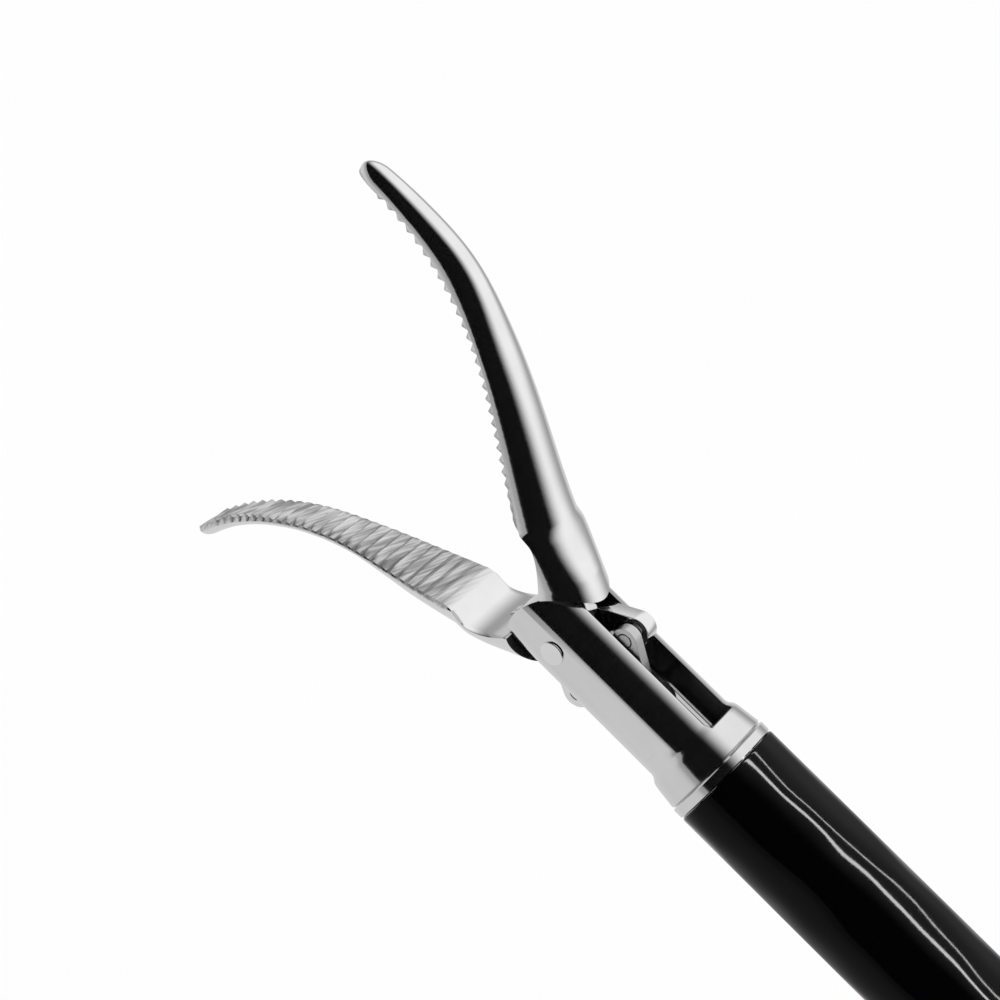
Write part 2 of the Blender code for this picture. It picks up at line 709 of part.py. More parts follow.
def oval(half_a, half_b, power, count):
    """A superellipse: 2 is an ellipse, and higher powers are squarer."""
    turn = (np.arange(count) + 0.5) * 2 * np.pi / count
    c, s = np.cos(turn), np.sin(turn)
    return (
        half_a * np.sign(c) * np.abs(c) ** (2 / power),
        half_b * np.sign(s) * np.abs(s) ** (2 / power),
    )


def bar(name, rows, count, stations, power=2.3):
    """A tapering bar along (x, z, half width across the path, half thickness in Y) rows."""
    table = smooth_table(rows, stations)
    heading = np.gradient(table[:, :2], axis=0)
    heading /= np.linalg.norm(heading, axis=1)[:, None]
    sections = []
    for (x, z, half_wide, half_thick), (hx, hz) in zip(table, heading):
        wide, thick = oval(half_wide, half_thick, power, count)
        sections.append(np.stack([x - wide * hz, thick, z + wide * hx], axis=1))
    return loft(name, sections)


def ring_bar(name, centre, half, tilt, count=28, sides=10):
    """A finger ring: an oval section carried round an ellipse in the XZ plane, tilted about Y."""
    sections = []
    wide, thick = oval(*RING_BAR_HALF, 2.3, sides)
    for turn in np.arange(count) * 2 * np.pi / count:
        c, s = math.cos(turn), math.sin(turn)
        out = Vector((half[1] * c, half[0] * s)).normalized()
        x = half[0] * c + wide * out.x
        z = half[1] * s + wide * out.y
        sections.append(
            np.stack(
                [
                    centre[0] + x * math.cos(tilt) + z * math.sin(tilt),
                    thick,
                    centre[1] - x * math.sin(tilt) + z * math.cos(tilt),
                ],
                axis=1,
            )
        )
    return loft(name, sections, looped=True)


def housing_solid():
    front = HOUSING_FRONT
    length = HOUSING_LENGTH
    table = smooth_table(
        [
            (front, 0, 10.6 * MM, 10.6 * MM, 2),
            (front - 0.02 * length, 0, 11.6 * MM, 11.6 * MM, 2),
            (front - 0.15 * length, -0.4 * MM, 11.3 * MM, 12.2 * MM, 2.2),
            (front - 0.36 * length, -2 * MM, 10 * MM, 13.4 * MM, 2.6),
            (front - 0.58 * length, -2.6 * MM, 9.5 * MM, 13.6 * MM, 2.8),
            (front - 0.8 * length, -2.2 * MM, 9 * MM, 12.4 * MM, 2.8),
            (front - 0.94 * length, -1.6 * MM, 7.8 * MM, 10.2 * MM, 2.6),
            (front - 0.99 * length, -1.2 * MM, 5.8 * MM, 7.6 * MM, 2.4),
            (front - length, -1 * MM, 4.2 * MM, 6 * MM, 2.2),
        ],
        17,
    )
    sections = []
    for x, centre_z, half_y, half_z, power in table:
        wide, high = oval(half_y, half_z, power, 24)
        sections.append(np.stack([np.full(24, x), wide, centre_z + high], axis=1))
    return loft("housing", sections)


def lever_cavity():
    """The room for the lever's head and hub, open below, where the arm swings."""
    px, pz = LEVER_PIVOT
    half = LEVER_THICKNESS / 2 + LEVER_SIDE_GAP
    front = px + CAVITY_REACH
    clear = LEVER_HUB_RADIUS + MM
    bottom = pz - 3 * LEVER_HUB_RADIUS
    outline = [
        (front, CAVITY_TOP),
        (front, -3 * MM),
        (px + clear, pz),
        (px + clear, pz - clear),
        (px + 3 * MM, bottom),
        (px - 2 * CAVITY_REACH, bottom),
        (px - 2 * clear, pz - 4 * MM),
        (px - clear, pz + 2 * MM),
        (px - clear, CAVITY_TOP),
    ]
    return plate("lever_cavity", [outline], -half, half)


def screw_places():
    """(x, z, seat of the head along Y) of the three handle screws."""
    return [
        (HOUSING_FRONT - 11 * MM, 5.6 * MM, 5.5 * MM),
        (HOUSING_REAR + 9 * MM, 2.5 * MM, 4.6 * MM),
        (HOUSING_FRONT - 12.2 * MM, -27 * MM, 3.2 * MM),
    ]


def make_handle(parent):
    """Two moulded halves that close round the knob's tail, the lever and the electrode post."""
    front = HOUSING_FRONT
    ring_x = front + FINGER_RING_CENTRE[0]
    ring_z = FINGER_RING_CENTRE[1]
    grip = bar(
        "grip",
        [
            (front - 14 * MM, -6 * MM, 8 * MM, 7 * MM),
            (front - 13 * MM, -18 * MM, 6.5 * MM, 6.2 * MM),
            (front - 11.5 * MM, -32 * MM, 5 * MM, 5.4 * MM),
            (front - 8 * MM, -43 * MM, 4.6 * MM, 5 * MM),
            (ring_x, ring_z + FINGER_RING_HALF[1], 4.6 * MM, 4.4 * MM),
        ],
        16,
        11,
    )
    ring = ring_bar("ring", (ring_x, ring_z), FINGER_RING_HALF, 0.0)
    body = joined(housing_solid(), grip, ring)
    far = CUTTER_REACH
    tail_hole = rod("hole", front + MM, FLANGE_FRONT - MM, SPIGOT_WALL_HOLE, 32)
    groove = rod("groove", FLANGE_FRONT, FLANGE_REAR - 0.2 * MM, FLANGE_RADIUS + 0.15 * MM, 32)
    passage = rod("passage", FLANGE_REAR + MM, LEVER_PIVOT[0], 1.6 * ROD_RADIUS, 20)
    pivot = across(rod("hole", far, -far, LEVER_PIN_RADIUS + RUNNING_GAP, 24), *LEVER_PIVOT)
    post_x = front - POST_SETBACK
    post_hole = upright(rod("hole", far, 0, POST_RADIUS + RUNNING_GAP, 24), post_x)
    sleeve_hole = upright(
        rod("hole", far, POST_SLEEVE_SEAT, POST_SLEEVE_RADIUS + RUNNING_GAP, 24), post_x
    )
    body = cut(body, lever_cavity(), tail_hole, groove, passage, pivot, post_hole, sleeve_hole)
    for x, z, seat in screw_places():
        shank = across(rod("hole", far, -seat, SCREW_SHANK_RADIUS + RUNNING_GAP, 16), x, z)
        head = across(rod("hole", far, seat, SCREW_HEAD_RADIUS + SCREW_HEAD_GAP, 20), x, z)
        body = cut(body, shank, head)
    low_x = HOUSING_REAR - HOUSING_LENGTH
    deep = 2 * HOUSING_LENGTH
    other = body.copy()
    other.data = body.data.copy()
    CUTTERS.objects.link(other)
    body.name = "handle_half_left"
    other.name = "handle_half_right"
    left_side = box("half", (low_x, 0, -deep), (0, deep, deep))
    right_side = box("half", (low_x, -deep, -deep), (0, 0, deep))
    left = combine(body, left_side, "INTERSECT", "MANIFOLD")
    right = combine(other, right_side, "INTERSECT", "MANIFOLD")
    piece(left, black_plastic(), parent)
    piece(right, black_plastic(), parent)
    for number, (x, z, seat) in enumerate(screw_places(), 1):
        shank = rod("shank", seat + 0.5 * MM, -seat + 0.3 * MM, SCREW_SHANK_RADIUS, 16)
        bottom = seat + SEAT_GAP
        top = bottom + SCREW_HEAD_HEIGHT
        head = rod("head", top, bottom, SCREW_HEAD_RADIUS, 20, 0.3 * MM)
        screw = joined(head, shank)
        screw.name = f"handle_screw_{number}"
        recess = rod("recess", top + MM, top - SCREW_KEY_DEPTH, SCREW_KEY_RADIUS, 6)
        piece(across(cut(screw, recess), x, z), steel(), parent)
    pin = across(
        rod(
            "lever_pivot_pin",
            LEVER_PIN_HALF_LENGTH,
            -LEVER_PIN_HALF_LENGTH,
            LEVER_PIN_RADIUS,
            24,
            0.3 * MM,
        ),
        *LEVER_PIVOT,
    )
    piece(pin, steel(), parent, axis_at=(LEVER_PIVOT[0], 0, LEVER_PIVOT[1]))
    post = upright(
        rod("electrode_post", POST_TOP, ROD_RADIUS + 0.35 * MM, POST_RADIUS, 24, 0.4 * MM), post_x
    )
    piece(post, steel(), parent)
    sleeve = upright(
        tube(
            "post_insulator",
            POST_SLEEVE_TOP,
            POST_SLEEVE_SEAT + SEAT_GAP,
            POST_SLEEVE_RADIUS,
            POST_RADIUS + RUNNING_GAP,
            24,
            0.5 * MM,
        ),
        post_x,
    )
    piece(sleeve, black_plastic(), parent)


def make_lever(parent):
    """The thumb lever, made upright at mid swing and turned back to its open rest."""
    px, pz = LEVER_PIVOT
    half = LEVER_THICKNESS / 2
    head = [
        (px + side * (LEVER_HEAD_HALF - inset), LEVER_HEAD_TOP - MM + inset)
        for side in (-1, 1)
        for inset in (0, MM)
    ]
    outline = hull(circle(px, pz, LEVER_HUB_RADIUS, 28) + head)
    hub = plate("thumb_lever", [outline], -half, half)
    ring_x = px + THUMB_RING_CENTRE[0]
    ring_z = pz + THUMB_RING_CENTRE[1]
    tilt = math.atan2(-THUMB_RING_CENTRE[0], -THUMB_RING_CENTRE[1]) * 0.6
    arm = bar(
        "arm",
        [
            (px, pz, 4.4 * MM, half - 0.1 * MM),
            (px - 4.5 * MM, pz - 12 * MM, 4.4 * MM, half - 0.1 * MM),
            (px - 9.5 * MM, pz - 24 * MM, 4.6 * MM, 4 * MM),
            (px - 15 * MM, pz - 34 * MM, 4.6 * MM, 4.6 * MM),
            (px - 21 * MM, pz - 43.5 * MM, 4.4 * MM, 4.4 * MM),
        ],
        16,
        11,
    )
    ring = ring_bar("ring", (ring_x, ring_z), THUMB_RING_HALF, tilt)
    lever = joined(hub, arm, ring)
    far = CUTTER_REACH
    pocket = BALL_RADIUS + BALL_GAP
    side = BALL_RADIUS + 0.1 * MM
    floor = -BALL_RADIUS - 0.25 * MM
    wide = THROAT_HALF_WIDTH
    socket = box("socket", (px - pocket, -side, floor), (px + pocket, side, far))
    throat = box("throat", (px, -wide, THROAT_BOTTOM), (px + far, wide, far))
    rear = box("rear", (px - far, -wide, THROAT_REAR_BOTTOM), (px, wide, far))
    hole = across(rod("hole", far, -far, LEVER_PIN_RADIUS + RUNNING_GAP, 24), px, pz)
    lever = cut(lever, socket, throat, rear, hole)
    piece(lever, black_plastic(), parent, axis_at=(px, 0, pz), turn_y=LEVER_SWING / 2)


def place_on_ground(root):
    """Moves the root so that the bottom centre of the instrument's box is at the origin."""
    bpy.context.view_layer.update()
    corners = np.array(
        [obj.matrix_world @ vertex.co for obj in PARTS.objects if obj.type == "MESH"
         for vertex in obj.data.vertices]
    )
    low, high = corners.min(axis=0), corners.max(axis=0)
    root.location = (-(low[0] + high[0]) / 2, 0, -low[2])
    bpy.context.view_layer.update()


def empty(name, parent=None):
    obj = bpy.data.objects.new(name, None)
    PARTS.objects.link(obj)
    obj.parent = parent
    return obj


def main():
    start_scene()
    root = empty("instrument")
    turning = empty("turning_shaft", root)
    sliding = empty("sliding_rod", turning)
    make_jaw("upper_jaw", 1, turning)
    make_jaw("lower_jaw", -1, turning)
    make_link("upper_link", 1, turning)
    make_link("lower_link", -1, turning)
    make_clevis(turning)
    make_pins(turning, sliding)
    make_shaft(turning)
    make_rod(sliding)
    make_knob(turning)
    make_handle(root)
    make_lever(root)
    place_on_ground(root)


main()
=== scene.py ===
"""The looks of the laparoscopic grasper: fine surfaces, finishes, light and the photograph's camera.

Shapes are worked out in metres from the jaw pivot, +X towards the jaws and +Z up, with the jaws
closed and the lever at mid swing. Each is then turned to its rest and moved to the frame's pivot.
"""

import json
import math

import bmesh
import bpy
import numpy as np
from mathutils import Matrix, Vector

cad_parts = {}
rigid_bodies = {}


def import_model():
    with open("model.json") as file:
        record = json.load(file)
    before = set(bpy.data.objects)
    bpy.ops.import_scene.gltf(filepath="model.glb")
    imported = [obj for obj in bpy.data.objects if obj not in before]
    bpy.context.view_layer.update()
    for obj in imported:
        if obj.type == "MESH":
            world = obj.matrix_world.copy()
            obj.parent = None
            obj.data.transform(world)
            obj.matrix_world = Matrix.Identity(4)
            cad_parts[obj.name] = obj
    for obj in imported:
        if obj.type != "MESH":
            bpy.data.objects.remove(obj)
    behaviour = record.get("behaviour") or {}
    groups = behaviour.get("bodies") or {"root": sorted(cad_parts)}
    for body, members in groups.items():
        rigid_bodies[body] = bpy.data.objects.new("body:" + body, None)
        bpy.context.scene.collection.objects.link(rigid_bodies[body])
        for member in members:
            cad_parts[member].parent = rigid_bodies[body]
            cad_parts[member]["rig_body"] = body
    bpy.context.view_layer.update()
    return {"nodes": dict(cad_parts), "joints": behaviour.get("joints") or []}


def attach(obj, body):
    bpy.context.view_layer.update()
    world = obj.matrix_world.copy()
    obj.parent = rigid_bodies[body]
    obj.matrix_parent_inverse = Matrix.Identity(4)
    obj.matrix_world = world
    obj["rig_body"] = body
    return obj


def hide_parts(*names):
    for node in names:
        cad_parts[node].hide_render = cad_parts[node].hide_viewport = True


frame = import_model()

MM = 0.001
JOINTS = {joint["name"]: joint for joint in frame["joints"]}
PIVOT = Vector(JOINTS["upper_jaw_close"]["pos_m"])
JAW_OPENING = math.radians(JOINTS["upper_jaw_close"]["range_deg"][1])
LEVER_AXIS = Vector(JOINTS["lever_squeeze"]["pos_m"]) - PIVOT
LEVER_SWING = math.radians(JOINTS["lever_squeeze"]["range_deg"][1])

# Jaws
JAW_LENGTH = 20.3 * MM
JAW_BODY_START = 2.4 * MM
JAW_BASE_HALF_WIDTH = 1.9 * MM
JAW_BASE_HEIGHT = 1.9 * MM
JAW_TIP_HALF_WIDTH = 0.55 * MM
JAW_TIP_HEIGHT = 0.9 * MM
JAW_TIP_ROUND = 0.75 * MM
TIP_ROUND_START = JAW_LENGTH - JAW_TIP_ROUND
UPPER_SWELL_PLACE = 15.6 * MM
UPPER_SWELL_LENGTH = 2.0 * MM
UPPER_SWELL_RISE = 0.25 * MM
LOWER_THIN_START = 7.5 * MM
LOWER_THIN_LENGTH = 3.0 * MM
LOWER_THIN_SHARE = 0.25
LOWER_WAIST_PLACE = 11.5 * MM
LOWER_WAIST_LENGTH = 2.5 * MM
LOWER_WAIST_SHARE = 0.12
LOWER_WEAR_END = 14.0 * MM
LOWER_WEAR_FADE = 3.0 * MM
LOWER_WEAR_SHARE = 0.8
UNWORN_SHARE = 0.7
CURVE_START = 3.0 * MM
CURVE_RISE = 35.3
CURVE_HOOK = 2480.0
EASE_START = 14.5 * MM
CURVE_EASE = 13.9
TOOTH_START = 5.7 * MM
TOOTH_PITCH = 0.5 * MM
TOOTH_HEIGHT = 0.22 * MM
TEETH = int((TIP_ROUND_START - TOOTH_START) / TOOTH_PITCH)
LAST_TOOTH = TOOTH_START + TEETH * TOOTH_PITCH
ROWS_PER_TOOTH = 16
GROWING_TEETH = 5
FIRST_TOOTH_SHARE = 0.2
CLOSED_GAP = 0.08 * MM
RELIEF_DEPTH = 0.6 * MM
RELIEF_ONSET = 0.4
EDGE_CHAMFER = 0.16 * MM
TAIL_ARM = 2.7 * MM
TAIL_ANGLE = math.radians(17)
TAIL_THICKNESS = 0.7 * MM
TAIL_BOSS_RADIUS = 1.3 * MM
TAIL_LOBE_RADIUS = 0.65 * MM
TAIL_ROOT_RADIUS = 0.6 * MM
PIVOT_PIN_RADIUS = 0.45 * MM
PIVOT_PIN_DOME = 0.1 * MM
RIVET_SPREAD = 0.08 * MM
RIVET_SEAT_GAP = 0.004 * MM
CLEVIS_FLAT = 2.0 * MM
LINK_PIN_RADIUS = 0.28 * MM
RUNNING_GAP = 0.05 * MM
SEAT_GAP = 0.03 * MM
MOULDED_GAP = 0.15 * MM
CLEVIS_TIP_RADIUS = 2.2 * MM
NOSE_GAP = 0.08 * MM
CLEVIS_EDGE = 0.1 * MM
LINK_EDGE = 0.03 * MM
CLEVIS_SLOT_WIDTH = 1.6 * MM
CLEVIS_SLOT_END = -6.56 * MM

# Shaft, knob and handle
SHAFT_RADIUS = 2.5 * MM
TUBE_RADIUS = 2.05 * MM
SHEATH_FRONT = -8.3 * MM
SHEATH_EDGE = 0.12 * MM
KNOB_FRONT = -310 * MM
KNOB_LENGTH = 18.9 * MM
KNOB_RADIUS = 12.5 * MM
KNOB_NOSE_RADIUS = 6.5 * MM
KNOB_FLUTES = 8
KNOB_FLUTE_DEPTH = 1.5 * MM
KNOB_SOCKET_DEPTH = 6 * MM
KNOB_REAR = KNOB_FRONT - KNOB_LENGTH
HOUSING_FRONT = KNOB_REAR - 0.4 * MM
HOUSING_LENGTH = 57 * MM
HOUSING_REAR = HOUSING_FRONT - HOUSING_LENGTH
FLANGE_FRONT = HOUSING_FRONT - 4 * MM
FLANGE_REAR = FLANGE_FRONT - 3.3 * MM
FLANGE_RADIUS = 7.3 * MM
COLLAR_RADIUS = 4.1 * MM
COLLAR_FRONT = FLANGE_REAR + 6 * MM
WALL_HOLE_RADIUS = 5.6 * MM
FINGER_RING_CENTRE = (-2.0 * MM, -68 * MM)
FINGER_RING_HALF = (15.5 * MM, 21 * MM)
THUMB_RING_CENTRE = (-27 * MM, -58 * MM)
THUMB_RING_HALF = (13.5 * MM, 16 * MM)
RING_BAR_HALF = (3.2 * MM, 4.8 * MM)
BAR_POWER = 2.3
LEVER_THICKNESS = 6.4 * MM
LEVER_HUB_RADIUS = 5.2 * MM
LEVER_PIN_RADIUS = 2.0 * MM
BALL_RADIUS = 2.0 * MM
ROD_BORE_RADIUS = 1.6 * MM
POST_SETBACK = 23 * MM
POST_RADIUS = 2.0 * MM
POST_SLEEVE_RADIUS = 3.8 * MM
POST_SLEEVE_SEAT = 9 * MM
SCREW_SHANK_RADIUS = 1.2 * MM
SCREW_HEAD_RADIUS = 2.4 * MM

# An edge that turns by more than this stays sharp
DRESSED_CORNER = math.radians(32)
TURNED_CORNER = math.radians(35)
JAW_CORNER = math.radians(30)
MOULDED_CORNER = math.radians(60)

# The photograph's camera, seen from the jaw pivot
CAMERA_BACK = Vector((-0.1196, 0.7003, 0.7037))
CAMERA_RIGHT = Vector((-0.7074, -0.5574, 0.4345))
CAMERA_PLACE = Vector((-4.86, 62.47, 64.87)) * MM
CAMERA_LENS = 79.884


# Shader maths


class Value:
    """What a node gives: a number, a vector or a colour. Arithmetic on a number adds Math nodes."""

    def __init__(self, shader, socket):
        self.shader = shader
        self.socket = socket

    def maths(self, operation, first, second=0.0):
        return self.shader.node("ShaderNodeMath", {"operation": operation}, {0: first, 1: second})

    def __add__(self, other):
        return self.maths("ADD", self, other)

    def __radd__(self, other):
        return self.maths("ADD", other, self)

    def __sub__(self, other):
        return self.maths("SUBTRACT", self, other)

    def __rsub__(self, other):
        return self.maths("SUBTRACT", other, self)

    def __mul__(self, other):
        return self.maths("MULTIPLY", self, other)

    def __rmul__(self, other):
        return self.maths("MULTIPLY", other, self)

    def __abs__(self):
        return self.maths("ABSOLUTE", self)

    def larger(self, other):
        return self.maths("MAXIMUM", self, other)

    def between(self, low, high):
        """0 below low, 1 above high, and an eased rise between them."""
        return self.shader.node(
            "ShaderNodeMapRange",
            {"interpolation_type": "SMOOTHSTEP"},
            {"Value": self, "From Min": low, "From Max": high},
        )


class Shader:
    """A node tree with one way to add a node: its type, its settings, then its sockets."""

    def __init__(self, tree):
        self.tree = tree

    def node(self, kind, settings=None, sockets=None, output=0):
        made = self.tree.nodes.new(kind)
        for key, value in (settings or {}).items():
            setattr(made, key, value)
        for key, value in (sockets or {}).items():
            self.feed(made.inputs[key], value)
        return Value(self, made.outputs[output])

    def feed(self, socket, value):
        if isinstance(value, Value):
            self.tree.links.new(value.socket, socket)
        else:
            socket.default_value = value

    def place(self):
        return self.node("ShaderNodeTexCoord", output="Object")

    def axis_of(self, vector, letter):
        return self.node("ShaderNodeSeparateXYZ", {}, {"Vector": vector}, output=letter)

    def vector_maths(self, operation, first, second, output):
        return self.node("ShaderNodeVectorMath", {"operation": operation}, {0: first, 1: second}, output)

    def noise(self, stretch, detail=3.0, turn=(0.0, 0.0, 0.0)):
        """Noise on Object coordinates. stretch is how many lumps it has to a metre along X, Y and Z."""
        place = self.place()
        if any(turn):
            place = self.node("ShaderNodeMapping", {}, {"Vector": place, "Rotation": turn})
        mapped = self.node("ShaderNodeMapping", {}, {"Vector": place, "Scale": stretch})
        return self.node("ShaderNodeTexNoise", {}, {"Vector": mapped, "Scale": 1.0, "Detail": detail})

    def mix(self, share, first, second):
        return self.node(
            "ShaderNodeMix", {"data_type": "RGBA"}, {0: share, 6: first, 7: second}, output=2
        )

    def bump(self, height, distance):
        return self.node("ShaderNodeBump", {}, {"Height": height, "Distance": distance, "Strength": 1.0})

    def light_path(self, kind):
        return self.node("ShaderNodeLightPath", output=f"Is {kind} Ray")


class Finish(Shader):
    """A Principled material. What varies is fed to its sockets, and what is constant is set on them."""

    def __init__(self, name, metallic=0.0):
        self.material = bpy.data.materials.new(name)
        self.material.use_nodes = True
        super().__init__(self.material.node_tree)
        self.principled = self.tree.nodes["Principled BSDF"]
        self.set("Metallic", metallic)

    def set(self, socket, value):
        self.feed(self.principled.inputs[socket], value)


def grey(level, tint=0.0):
    """A grey colour, with a little more blue, or less, by its tint."""
    return (level, level, level + tint, 1.0)


def jaw_steel():
    """Mirror polish with faint hair marks and dents. The serrated faces are satin and finely scored
    across, and the hollow that faces the clevis's nose is coloured near black, as painted shade."""
    finish = Finish("jaw_steel", metallic=1.0)
    serrated = finish.node("ShaderNodeAttribute", {"attribute_name": "serrated"}, output="Fac")
    slant = (0.0, 0.0, 0.25)
    cloud = finish.noise((900, 900, 900))
    hairs = finish.noise((700, 9000, 9000), 4.0)
    scores = finish.noise((9000, 300, 5000), 6.0, slant)
    streaks = finish.noise((2200, 240, 1800), 2.0, slant)
    dents = finish.noise((260, 260, 260), 1.0)
    polished = finish.mix(cloud, grey(0.78), grey(0.88, 0.005))
    scored = finish.mix((scores + 0.5 * streaks - 0.25).between(0.25, 0.75), grey(0.28), grey(0.75))
    place = finish.place()
    flat = finish.vector_maths("MULTIPLY", place, (1.0, 0.0, 1.0), "Vector")
    reach = finish.vector_maths("DISTANCE", flat, (PIVOT.x, 0.0, PIVOT.z), "Value")
    # Painted shade: the cut hollow that faces the clevis's nose is coloured near black (grey 0.03),
    # standing in for the shade between jaw and clevis; the mask below marks it.
    hollow = CLEVIS_TIP_RADIUS + NOSE_GAP
    in_hollow = 1 - reach.between(hollow + 0.01 * MM, hollow + 0.03 * MM)
    forward = finish.axis_of(place, "X").between(PIVOT.x + 0.5 * MM, PIVOT.x + 0.7 * MM)
    nose = forward * in_hollow
    finish.set("Base Color", finish.mix(nose, finish.mix(serrated, polished, scored), grey(0.03)))
    finish.set("Roughness", 0.07 + 0.06 * hairs + 0.26 * serrated + 0.3 * nose)
    height = (hairs - 0.5) * 0.1 + (scores - 0.5) * serrated * 1.6 + dents * 3.0
    finish.set("Normal", finish.bump(height, 0.012 * MM))
    return finish.material


def clevis_steel():
    """Bright turned steel: fine rings round X, and a cloudy polish. Inside the jaws' slot the colour is
    dark grey, as painted shade.
    """
    finish = Finish("clevis_steel", metallic=1.0)
    cloud = finish.noise((500, 1200, 1200))
    rings = finish.noise((9000, 160, 160), 4.0)
    place = finish.place()
    # Painted shade: inside the jaws' slot, before its end, the steel is coloured dark grey (0.09) for the
    # shade there; the mask below marks it.
    slot_end = PIVOT.x + CLEVIS_SLOT_END
    past_end = finish.axis_of(place, "X").between(slot_end - 0.05 * MM, slot_end)
    half_slot = CLEVIS_SLOT_WIDTH / 2
    outside = abs(finish.axis_of(place, "Y")).between(half_slot + 0.01 * MM, half_slot + 0.03 * MM)
    slot_shade = past_end * (1 - outside)
    bright = finish.mix(cloud, grey(0.7), grey(0.8, 0.005))
    finish.set("Base Color", finish.mix(slot_shade, bright, grey(0.09)))
    finish.set("Roughness", 0.05 + 0.07 * rings + 0.05 * cloud + 0.15 * slot_shade)
    finish.set("Normal", finish.bump(rings, 0.004 * MM))
    return finish.material


def link_steel():
    """Plain machined steel with a fine grain, a little drawn out along Y."""
    finish = Finish("link_steel", metallic=1.0)
    grain = finish.noise((6000, 2500, 6000), 5.0)
    finish.set("Base Color", finish.mix(grain, grey(0.5), grey(0.66)))
    finish.set("Roughness", 0.22 + 0.16 * grain)
    finish.set("Normal", finish.bump(grain, 0.006 * MM))
    return finish.material


def screw_steel():
    """Turned steel with a grain drawn out along Y, which is the screws' length."""
    finish = Finish("screw_steel", metallic=1.0)
    grain = finish.noise((2200, 300, 2200), 4.0)
    finish.set("Base Color", finish.mix(grain, grey(0.58), grey(0.74)))
    finish.set("Roughness", 0.2 + 0.14 * grain)
    finish.set("Normal", finish.bump(grain, 0.01 * MM))
    return finish.material


def sheath_plastic():
    """Glossy black shrink tube with slow waves, which make its bright lines waver, and a fine dust."""
    finish = Finish("sheath_plastic")
    finish.set("Specular IOR Level", 0.1)
    waves = finish.noise((110, 160, 160), 2.0)
    dust = finish.noise((5000, 5000, 5000), 4.0)
    finish.set("Base Color", finish.mix(dust, grey(0.0004), grey(0.0012, 0.0002)))
    finish.set("Roughness", 0.06 + 0.06 * dust)
    finish.set("Normal", finish.bump(waves + 0.0015 * dust, 0.8 * MM))
    return finish.material


def moulded_plastic(name, dark, light, roughness, grain_per_metre, depth):
    """A moulding: the tool's eroded grain, and a cloudy gloss."""
    finish = Finish(name)
    grain = finish.noise((grain_per_metre,) * 3, 3.0)
    cloud = finish.noise((60, 60, 60), 3.0)
    finish.set("Base Color", finish.mix(cloud, dark, light))
    finish.set("Roughness", roughness + 0.1 * cloud + 0.06 * grain)
    finish.set("Normal", finish.bump(grain, depth))
    return finish.material


def white_ptfe():
    return moulded_plastic("white_ptfe", grey(0.8), grey(0.88, -0.01), 0.36, 2500, 0.01 * MM)


def seal_rubber():
    return moulded_plastic("seal_rubber", grey(0.03), grey(0.055), 0.62, 4000, 0.015 * MM)


# Mesh makers


def to_frame(turn_y, about):
    """Turns a shape about a point, round Y, then moves it from the pivot's frame to the part's."""
    turned = Matrix.Translation(about) @ Matrix.Rotation(turn_y, 4, "Y") @ Matrix.Translation(-about)
    return Matrix.Translation(PIVOT) @ turned


def from_shape(name, shape, merge=1.5e-7):
    """An object from a bmesh, with points closer than merge made one and its faces turned outwards."""
    bmesh.ops.remove_doubles(shape, verts=shape.verts, dist=merge)
    bmesh.ops.recalc_face_normals(shape, faces=shape.faces)
    mesh = bpy.data.meshes.new(name)
    shape.to_mesh(mesh)
    shape.free()
    obj = bpy.data.objects.new(name, mesh)
    bpy.context.scene.collection.objects.link(obj)
    return obj


def skin(name, points, looped=False):
    """A closed skin over a grid: each row of points is a closed section, and columns join the rows.
    Looped rows join end to end, and others are closed by a fan round each end row's middle."""
    rows, columns = points.shape[:2]
    index = np.arange(rows * columns).reshape(rows, columns)
    around = np.roll(index, -1, axis=1)
    if looped:
        index = np.vstack([index, index[:1]])
        around = np.vstack([around, around[:1]])
    quads = np.stack([index[:-1], around[:-1], around[1:], index[1:]], axis=-1).reshape(-1, 4)
    faces = quads.tolist()
    vertices = points.reshape(-1, 3)
    if not looped:
        for row in (0, rows - 1):
            ring = np.arange(columns) + row * columns
            middle = np.full(columns, len(vertices))
            vertices = np.vstack([vertices, points[row].mean(axis=0)])
            faces += np.stack([ring, np.roll(ring, -1), middle], axis=-1).tolist()
    mesh = bpy.data.meshes.new(name)
    mesh.from_pydata(vertices.tolist(), [], faces)
    shape = bmesh.new()
    shape.from_mesh(mesh)
    bpy.data.meshes.remove(mesh)
    return from_shape(name, shape)


def rounded(corners, radius, steps=5):
    """Each corner of a line of points becomes a parabola between the places at radius before and
    after it, or nearer where the sides are short: (1-t)^2 a + 2t(1-t) corner + t^2 b."""
    corners = np.array(corners, float)
    radius = np.broadcast_to(radius, len(corners)).astype(float)[:, None]
    before = np.roll(corners, 1, axis=0) - corners
    after = np.roll(corners, -1, axis=0) - corners
    reach = [np.linalg.norm(side, axis=1)[:, None] for side in (before, after)]
    start = corners + before * np.minimum(radius / reach[0], 0.49)
    end = corners + after * np.minimum(radius / reach[1], 0.49)
    t = np.linspace(0, 1, steps)[None, :, None]
    bends = (1 - t) ** 2 * start[:, None] + 2 * t * (1 - t) * corners[:, None] + t**2 * end[:, None]
    return bends.reshape(-1, 2)


def turned(name, profile, sides, looped):
    """A profile of (x, radius) points carried round the X axis. One that isn't looped gets flat ends."""
    profile = np.asarray(profile, float)
    angle = np.arange(sides) * 2 * np.pi / sides
    x = np.repeat(profile[:, :1], sides, axis=1)
    points = np.stack(
        [x, profile[:, 1:] * np.cos(angle), profile[:, 1:] * np.sin(angle)], axis=-1
    )
    return skin(name, points, looped)


def bar_of(name, front, rear, radius, sides=48, edge=0.0, hole=0.0):
    """A round bar along X with rounded rims, or a tube if it has a hole."""
    inner = hole or radius / 2
    corners = [(rear, inner), (rear, radius), (front, radius), (front, inner)]
    return turned(name, rounded(corners, [0, edge, edge, 0]), sides, looped=hole > 0)


def across(obj, x, z):
    """Turns a piece made along X so that it lies along Y through (x, z)."""
    obj.data.transform(Matrix.Translation((x, 0, z)) @ Matrix.Rotation(math.pi / 2, 4, "Z"))
    return obj


